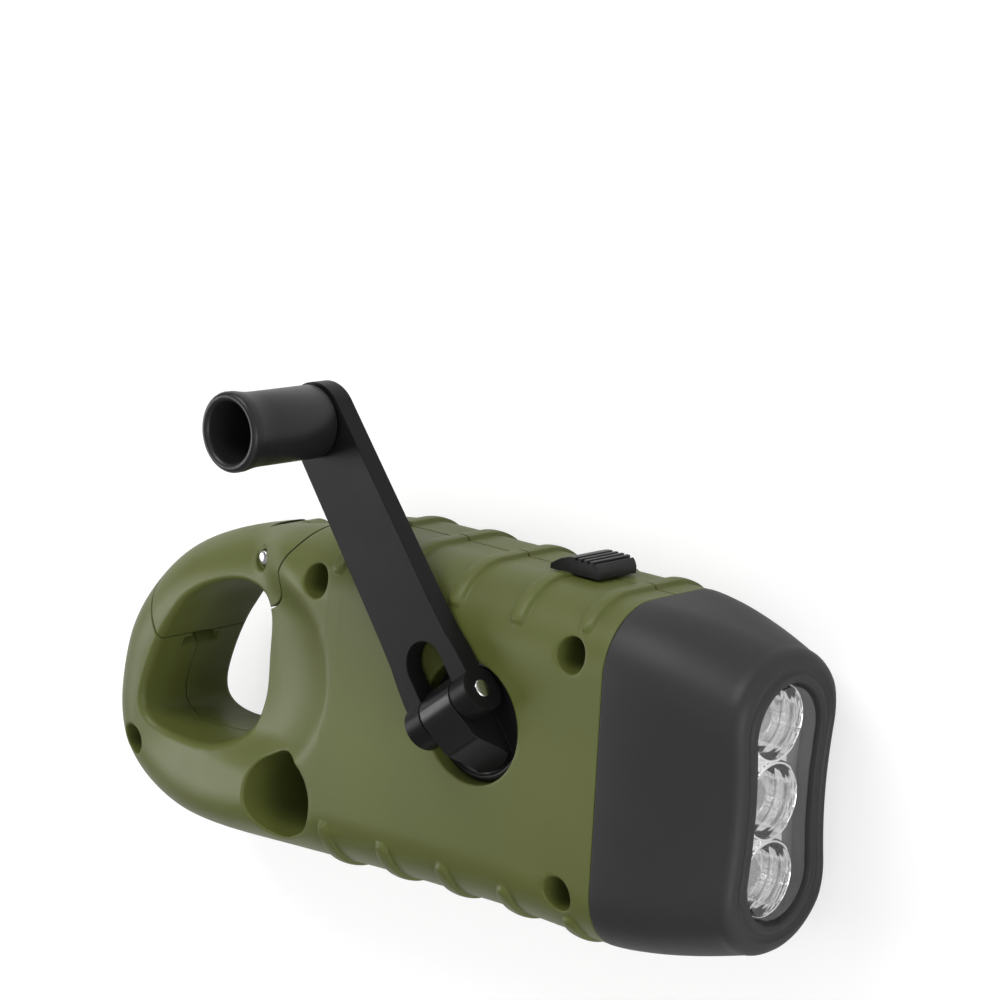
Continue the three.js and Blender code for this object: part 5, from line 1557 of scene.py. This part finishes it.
    def knob(self, material: bpy.types.Material) -> None:
        """Builds the hollow knob: a straight barrel that flares to a thick rounded rim.

        Args:
            material: its finish.
        """
        low = np.array([0, self.knob_foot])
        high = low + np.array([0, self.knob_height])
        t = np.linspace(0, 1, self.flare_rings)
        flare = np.column_stack([
            self.knob_barrel + self.knob_flare * t**2, self.flare_start + self.flare_length * t,
        ])
        lip = np.linspace(0, np.pi, self.rim_rings)
        rim = np.array(self.rim_radii) * np.column_stack([np.cos(lip), np.sin(lip)])
        profile = np.vstack([
            low + np.array(self.knob_foot_profile), high + flare, high + np.array(self.rim_middle) + rim,
            high + np.array([self.knob_mouth]), low + np.array(self.knob_floor_profile),
        ])
        body = revolved("knob", profile, (self.tip, 0, 0), UP, FINE_STEPS)
        finish_piece(self.settle(body), "knob", "knob", "crank_knob", material)

    def fasteners(self, material: bpy.types.Material) -> None:
        """Builds the hinge pin with its domed heads and the knob's screw.

        Args:
            material: their finish.
        """
        reach = self.fork_half + self.pin_past
        head = np.array(self.pin_head) + np.array([0, -reach])
        both = np.vstack([head, (head * np.array([1, -1]))[::-1]])
        pin = revolved("pin", both, (S.hinge_offset, 0, S.hinge_z), ACROSS, PLAIN_STEPS)
        finish_piece(self.settle(pin), "fork_hinge_pin", "arm", "hinge_pin", material)
        profile = np.array(self.screw) + np.array([0, self.screw_seat])
        screw = revolved("screw", profile, (self.tip, 0, 0))
        cross_slot(screw, self.tip, 0, profile[-1, 1], profile[:, 0].max())
        finish_piece(self.settle(screw), "knob_screw_fine", "arm", "knob_screw", material)


def cross_slot(item: bpy.types.Object, x: float, y: float, top: float, head: float) -> None:
    """Cuts a cross recess into a screw head.

    Args:
        item: the screw.
        x: X of its axis.
        y: Y of its axis.
        top: height of the head's top.
        head: radius of the head.
    """
    long, wide, deep = (share * head for share in CROSS_SHARES)
    for dx, dy in ((long, wide), (wide, long)):
        carve(item, block("cross", (x - dx, y - dy, top - deep), (x + dx, y + dy, top + 1)), Carve.CUT)


@dataclass
class ShellScrews:
    """The four screws that hold the shells together, deep in their wells."""

    places: tuple[str, ...] = ("rear", "front_upper", "front_lower", "loop")
    above_seat: float = 0.15
    profile: tuple[Point, ...] = (
        (0, -9.0), (0.9, -9.0), (1.2, -8.5), (1.2, 0.0), (2.2, 0.0), (2.2, 0.8), (1.9, 1.4), (1.3, 1.8),
        (0, 1.8),
    )

    def build(self, material: bpy.types.Material) -> None:
        """Builds the four screws: a domed head with a cross recess on a plain shank.

        Args:
            material: their finish.
        """
        profile = np.array(self.profile) + np.array([0, S.middle + S.screw_seat + self.above_seat])
        top, head = profile[-1, 1], profile[:, 0].max()
        for place, (x, y) in zip(self.places, SCREWS):
            screw = revolved("screw", profile, (x, y, 0), UP, PLAIN_STEPS)
            cross_slot(screw, x, y, top, head)
            finish_piece(screw, f"screw_{place}", "housing", f"shell_screw_{place}", material)


@dataclass
class ThumbSwitch:
    """The thumb slider on the upper flank, with transverse grooves and a smooth slope.

    The side profile is in shares of its length and height.
    """

    start_x: float = 4.0
    length: float = 9.0
    height: float = 2.4
    half: float = 4.0
    side_shares: tuple[Point, ...] = (
        (0, 0), (1, 0), (1, 0.45), (0.97, 0.7), (0.93, 0.88), (0.86, 0.98), (0.78, 1.0), (0.45, 1.0),
        (0.36, 0.95), (0.2, 0.75), (0.08, 0.5), (0, 0.3),
    )
    grooves: int = 4
    groove_start: float = 0.5
    groove_pitch: float = 0.12
    groove_width: float = 0.5
    groove_floor: float = 1.9
    stem_span_x: Point = (6.0, 8.0)
    stem_foot: float = 19.3
    stem_half: float = 1.5
    stem_overlap: float = 0.4
    edge: float = 0.16
    edge_steps: int = 2
    edge_angle: float = 25.0

    def build(self, material: bpy.types.Material) -> None:
        """Builds the slider and its stem.

        Args:
            material: its finish.
        """
        base = S.half_width + S.gap
        side = np.array(self.side_shares) * np.array([self.length, self.height])
        side = side + np.array([self.start_x, base])
        body = column("slider", side, S.middle - self.half, S.middle + self.half)
        for i in range(self.grooves):
            x = self.start_x + self.length * (self.groove_start + self.groove_pitch * i)
            far = (x + self.groove_width, base + self.length, ABOVE)
            carve(body, block("groove", (x, base + self.groove_floor, 0), far), Carve.CUT)
        soften(body, self.edge, self.edge_steps, self.edge_angle)
        start, end = self.stem_span_x
        low, high = S.middle - self.stem_half, S.middle + self.stem_half
        stem = block("stem", (start, self.stem_foot, low), (end, base + self.stem_overlap, high))
        carve(body, stem, Carve.JOIN)
        finish_piece(body, "thumb_slider", "slider", "switch_slider", material, True)


@dataclass
class Works:
    """The parts inside: those carried over from the frame, with their finishes, and the wound ones."""

    carried: dict[str, tuple[str, ...]] = field(default_factory=lambda: {
        "gear": ("main_gear", "first_gear", "second_gear", "gear_plate"),
        "steel": ("first_axle", "second_axle", "plate_screw_1", "plate_screw_2", "plate_screw_3",
                  "dynamo_can", "button_cell_1", "button_cell_2", "button_cell_3"),
        "board": ("led_board", "main_board"),
        "magnet": ("dynamo_rotor",),
        "black": ("slide_switch",),
    })
    coil_span: Point = (4.4, 11.9)
    coil_outside: float = 9.05
    coil_inside: float = 7.15
    coil_ridge: float = 0.13
    coil_ridges: int = 18
    coil_rings: int = 200
    wire_radius: float = 0.49
    wire_spacing: float = 1.5
    wire_steps: int = 20
    route_steps: int = 16
    routes: dict[str, tuple[Corner, ...]] = field(default_factory=lambda: {
        "lamp": ((9.2, 13.7, 4.9), (13.2, 13.2, 4.9), (22.4, 10.2, 6.9), (29.6, 10.2, 12.5),
                 (31.6, 10.2, 12.5)),
        "dynamo": ((-3.42, 2.029, 10.6), (-1.42, 5.229, 10.6), (0.58, 11.2, 10.6), (2.58, 14.4, 10.6)),
    })

    def dress(self, materials: dict[str, bpy.types.Material]) -> None:
        """Gives every carried-over node its finish.

        Args:
            materials: the materials by the names of their finishes.
        """
        for finish, names in self.carried.items():
            for name in names:
                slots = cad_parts[name].data.materials
                slots.clear()
                slots.append(materials[finish])

    def coil(self, material: bpy.types.Material) -> None:
        """Builds the dynamo's winding: a ring whose outside shows each turn of wire as a round ridge.

        Args:
            material: its finish.
        """
        low, high = self.coil_span
        t = np.linspace(0, 1, self.coil_rings)
        ridge = self.coil_ridge * np.abs(np.sin(np.pi * self.coil_ridges * t))
        profile = np.vstack([
            np.column_stack([self.coil_outside + ridge, low + (high - low) * t]),
            np.column_stack([self.coil_inside - ridge, high - (high - low) * t]),
        ])
        ring = revolved("coil", profile, (*S.rotor, 0), UP, WIDE_STEPS)
        finish_piece(ring, "wound_coil", "housing", "dynamo_coil", material)

    def leads(self, material: bpy.types.Material) -> None:
        """Builds the two pairs of insulated wires, soldered at both ends: board to lamps, dynamo to board.

        Args:
            material: insulation of the wires.
        """
        for kind, route in self.routes.items():
            path = catmull_rom(np.array(route), self.route_steps)
            for i, side in enumerate((-0.5, 0.5), 1):
                name = f"{kind}_wire_{i}"
                shift = np.array([0, 0, side * self.wire_spacing])
                wire = tube(name, path + shift, self.wire_radius, self.wire_steps)
                finish_piece(wire, name, "housing", f"{kind}_lead_{i}", material)


@dataclass
class Studio:
    """Floor, light and camera. Places of lamps are in metres, those of floor and camera in millimetres.

    A patch and a reach are the range that goes in and the range that comes out.
    """

    position: Corner = (257.66, 115.77, 307.14)
    forward: Corner = (-0.65992, -0.20763, -0.72208)
    down: Corner = (0.17938, -0.9768, 0.11694)
    focal_length: float = 101.85
    sensor: float = 36.0
    clip: Point = (0.01, 20.0)
    floor_reach: float = 3000.0
    floor_z: float = -0.4
    floor_lit: float = 0.8
    floor_seen: float = 0.42
    floor_glow: float = 0.64
    toward: Corner = (0.88, 0.15, 0.45)
    patch_scale: float = 6.0
    patch: tuple[float, float, float, float] = (0.46, 0.54, 0.04, 2.3)
    reach: tuple[float, float, float, float] = (0.2, 0.8, 0.22, 0.8)
    aim: Corner = (-0.02, 0.0, 0.01)
    lights: tuple[tuple[str, Corner, float, float], ...] = (
        ("key", (-0.3, 0.85, 0.65), 0.6, 7.4), ("side", (0.9, -0.1, 0.35), 0.5, 3.8),
        ("rear", (-0.8, -0.1, 0.5), 0.5, 3.4),
    )

    def floor(self) -> None:
        """A wide pale floor that shows white to the camera and keeps the shadow."""
        far = self.floor_reach
        corners = np.array([[-far, -far], [far, -far], [far, far], [-far, far]])
        item = new_object("floor", at_height(corners, self.floor_z), [[0, 1, 2, 3]])
        material = bpy.data.materials.new("pale_floor")
        material.use_nodes = True
        graph = Graph(material.node_tree)
        output = graph.add("OutputMaterial")
        plain = graph.add("BsdfDiffuse", Color=grey(self.floor_lit))
        pale = graph.add("BsdfDiffuse", Color=grey(self.floor_seen))
        glow = graph.add("Emission", Color=grey(1.0), Strength=self.floor_glow)
        seen = graph.add("AddShader")
        path = graph.add("LightPath")
        choose = graph.add("MixShader")
        graph.join(
            (pale, "BSDF", seen, 0), (glow, "Emission", seen, 1), (path, "Is Camera Ray", choose, "Fac"),
            (plain, "BSDF", choose, 1), (seen, "Shader", choose, 2), (choose, "Shader", output, "Surface"),
        )
        item.data.materials.append(material)

    def world(self) -> None:
        """A pale world with bright patches, brighter towards the lamps' end."""
        world = bpy.data.worlds.new("studio_world")
        bpy.context.scene.world = world
        world.use_nodes = True
        graph = Graph(world.node_tree, empty=False)
        background = graph.nodes["Background"]
        background.inputs["Color"].default_value = grey(1.0)
        place = graph.add("TexCoord")
        toward = graph.add("VectorMath")
        toward.operation = "DOT_PRODUCT"
        toward.inputs[1].default_value = self.toward
        bands = graph.add("TexNoise", Scale=self.patch_scale, Detail=0.0)
        patch, reach = (
            graph.add("MapRange", From_Min=a, From_Max=b, To_Min=c, To_Max=d)
            for a, b, c, d in (self.patch, self.reach)
        )
        level = graph.add("Math")
        level.operation = "MULTIPLY"
        graph.join(
            (place, "Generated", toward, 0), (place, "Generated", bands, "Vector"),
            (bands, "Fac", patch, "Value"), (toward, "Value", reach, "Value"), (patch, "Result", level, 0),
            (reach, "Result", level, 1), (level, "Value", background, "Strength"),
        )

    def lamps(self) -> None:
        """Three large soft lamps that look at the flashlight."""
        for name, place, size, power in self.lights:
            data = bpy.data.lights.new(name, "AREA")
            data.shape = "DISK"
            data.size = size
            data.energy = power
            lamp = bpy.data.objects.new(name, data)
            lamp.location = place
            lamp.rotation_euler = (Vector(self.aim) - Vector(place)).to_track_quat("-Z", "Y").to_euler()
            bpy.context.scene.collection.objects.link(lamp)

    def camera(self) -> None:
        """A camera at the photograph's viewing angle."""
        forward = Vector(self.forward).normalized()
        down = Vector(self.down)
        down = (down - forward * down.dot(forward)).normalized()
        turn = Matrix((down.cross(forward), -down, -forward)).transposed()
        data = bpy.data.cameras.new("camera")
        data.lens = self.focal_length
        data.sensor_width = self.sensor
        data.clip_start, data.clip_end = self.clip
        item = bpy.data.objects.new("camera", data)
        item.matrix_world = Matrix.Translation(Vector(self.position) * MM) @ turn.to_4x4()
        bpy.context.scene.collection.objects.link(item)
        bpy.context.scene.camera = item


def main() -> None:
    """Builds every sub-assembly in order and dresses it."""
    materials = {key: finish.build() for key, finish in FINISHES.items()}
    studio = Studio()
    studio.camera()
    studio.world()
    studio.lamps()
    studio.floor()
    form = BodyForm(rear_steps=170, edge_steps=34, face_steps=52)
    shells = Shells(form, BodyForm(rear_steps=90, edge_steps=8, face_steps=20))
    for side in Side:
        shells.build(side, materials["green"])
    Gate(form, shells).build(materials["green"], materials["steel"])
    head = Head()
    head.cover(materials["head"])
    head.lamps(materials["chrome"], materials["clear"], materials["dome"])
    crank = Crank()
    crank.hub(materials["hub"])
    crank.arm(materials["arm"])
    crank.knob(materials["black"])
    crank.fasteners(materials["steel"])
    ShellScrews().build(materials["steel"])
    ThumbSwitch().build(materials["black"])
    works = Works()
    works.dress(materials)
    works.coil(materials["copper"])
    works.leads(materials["lead"])
    bpy.context.scene.view_settings.view_transform = "Standard"


if __name__ == "__main__":
    main()
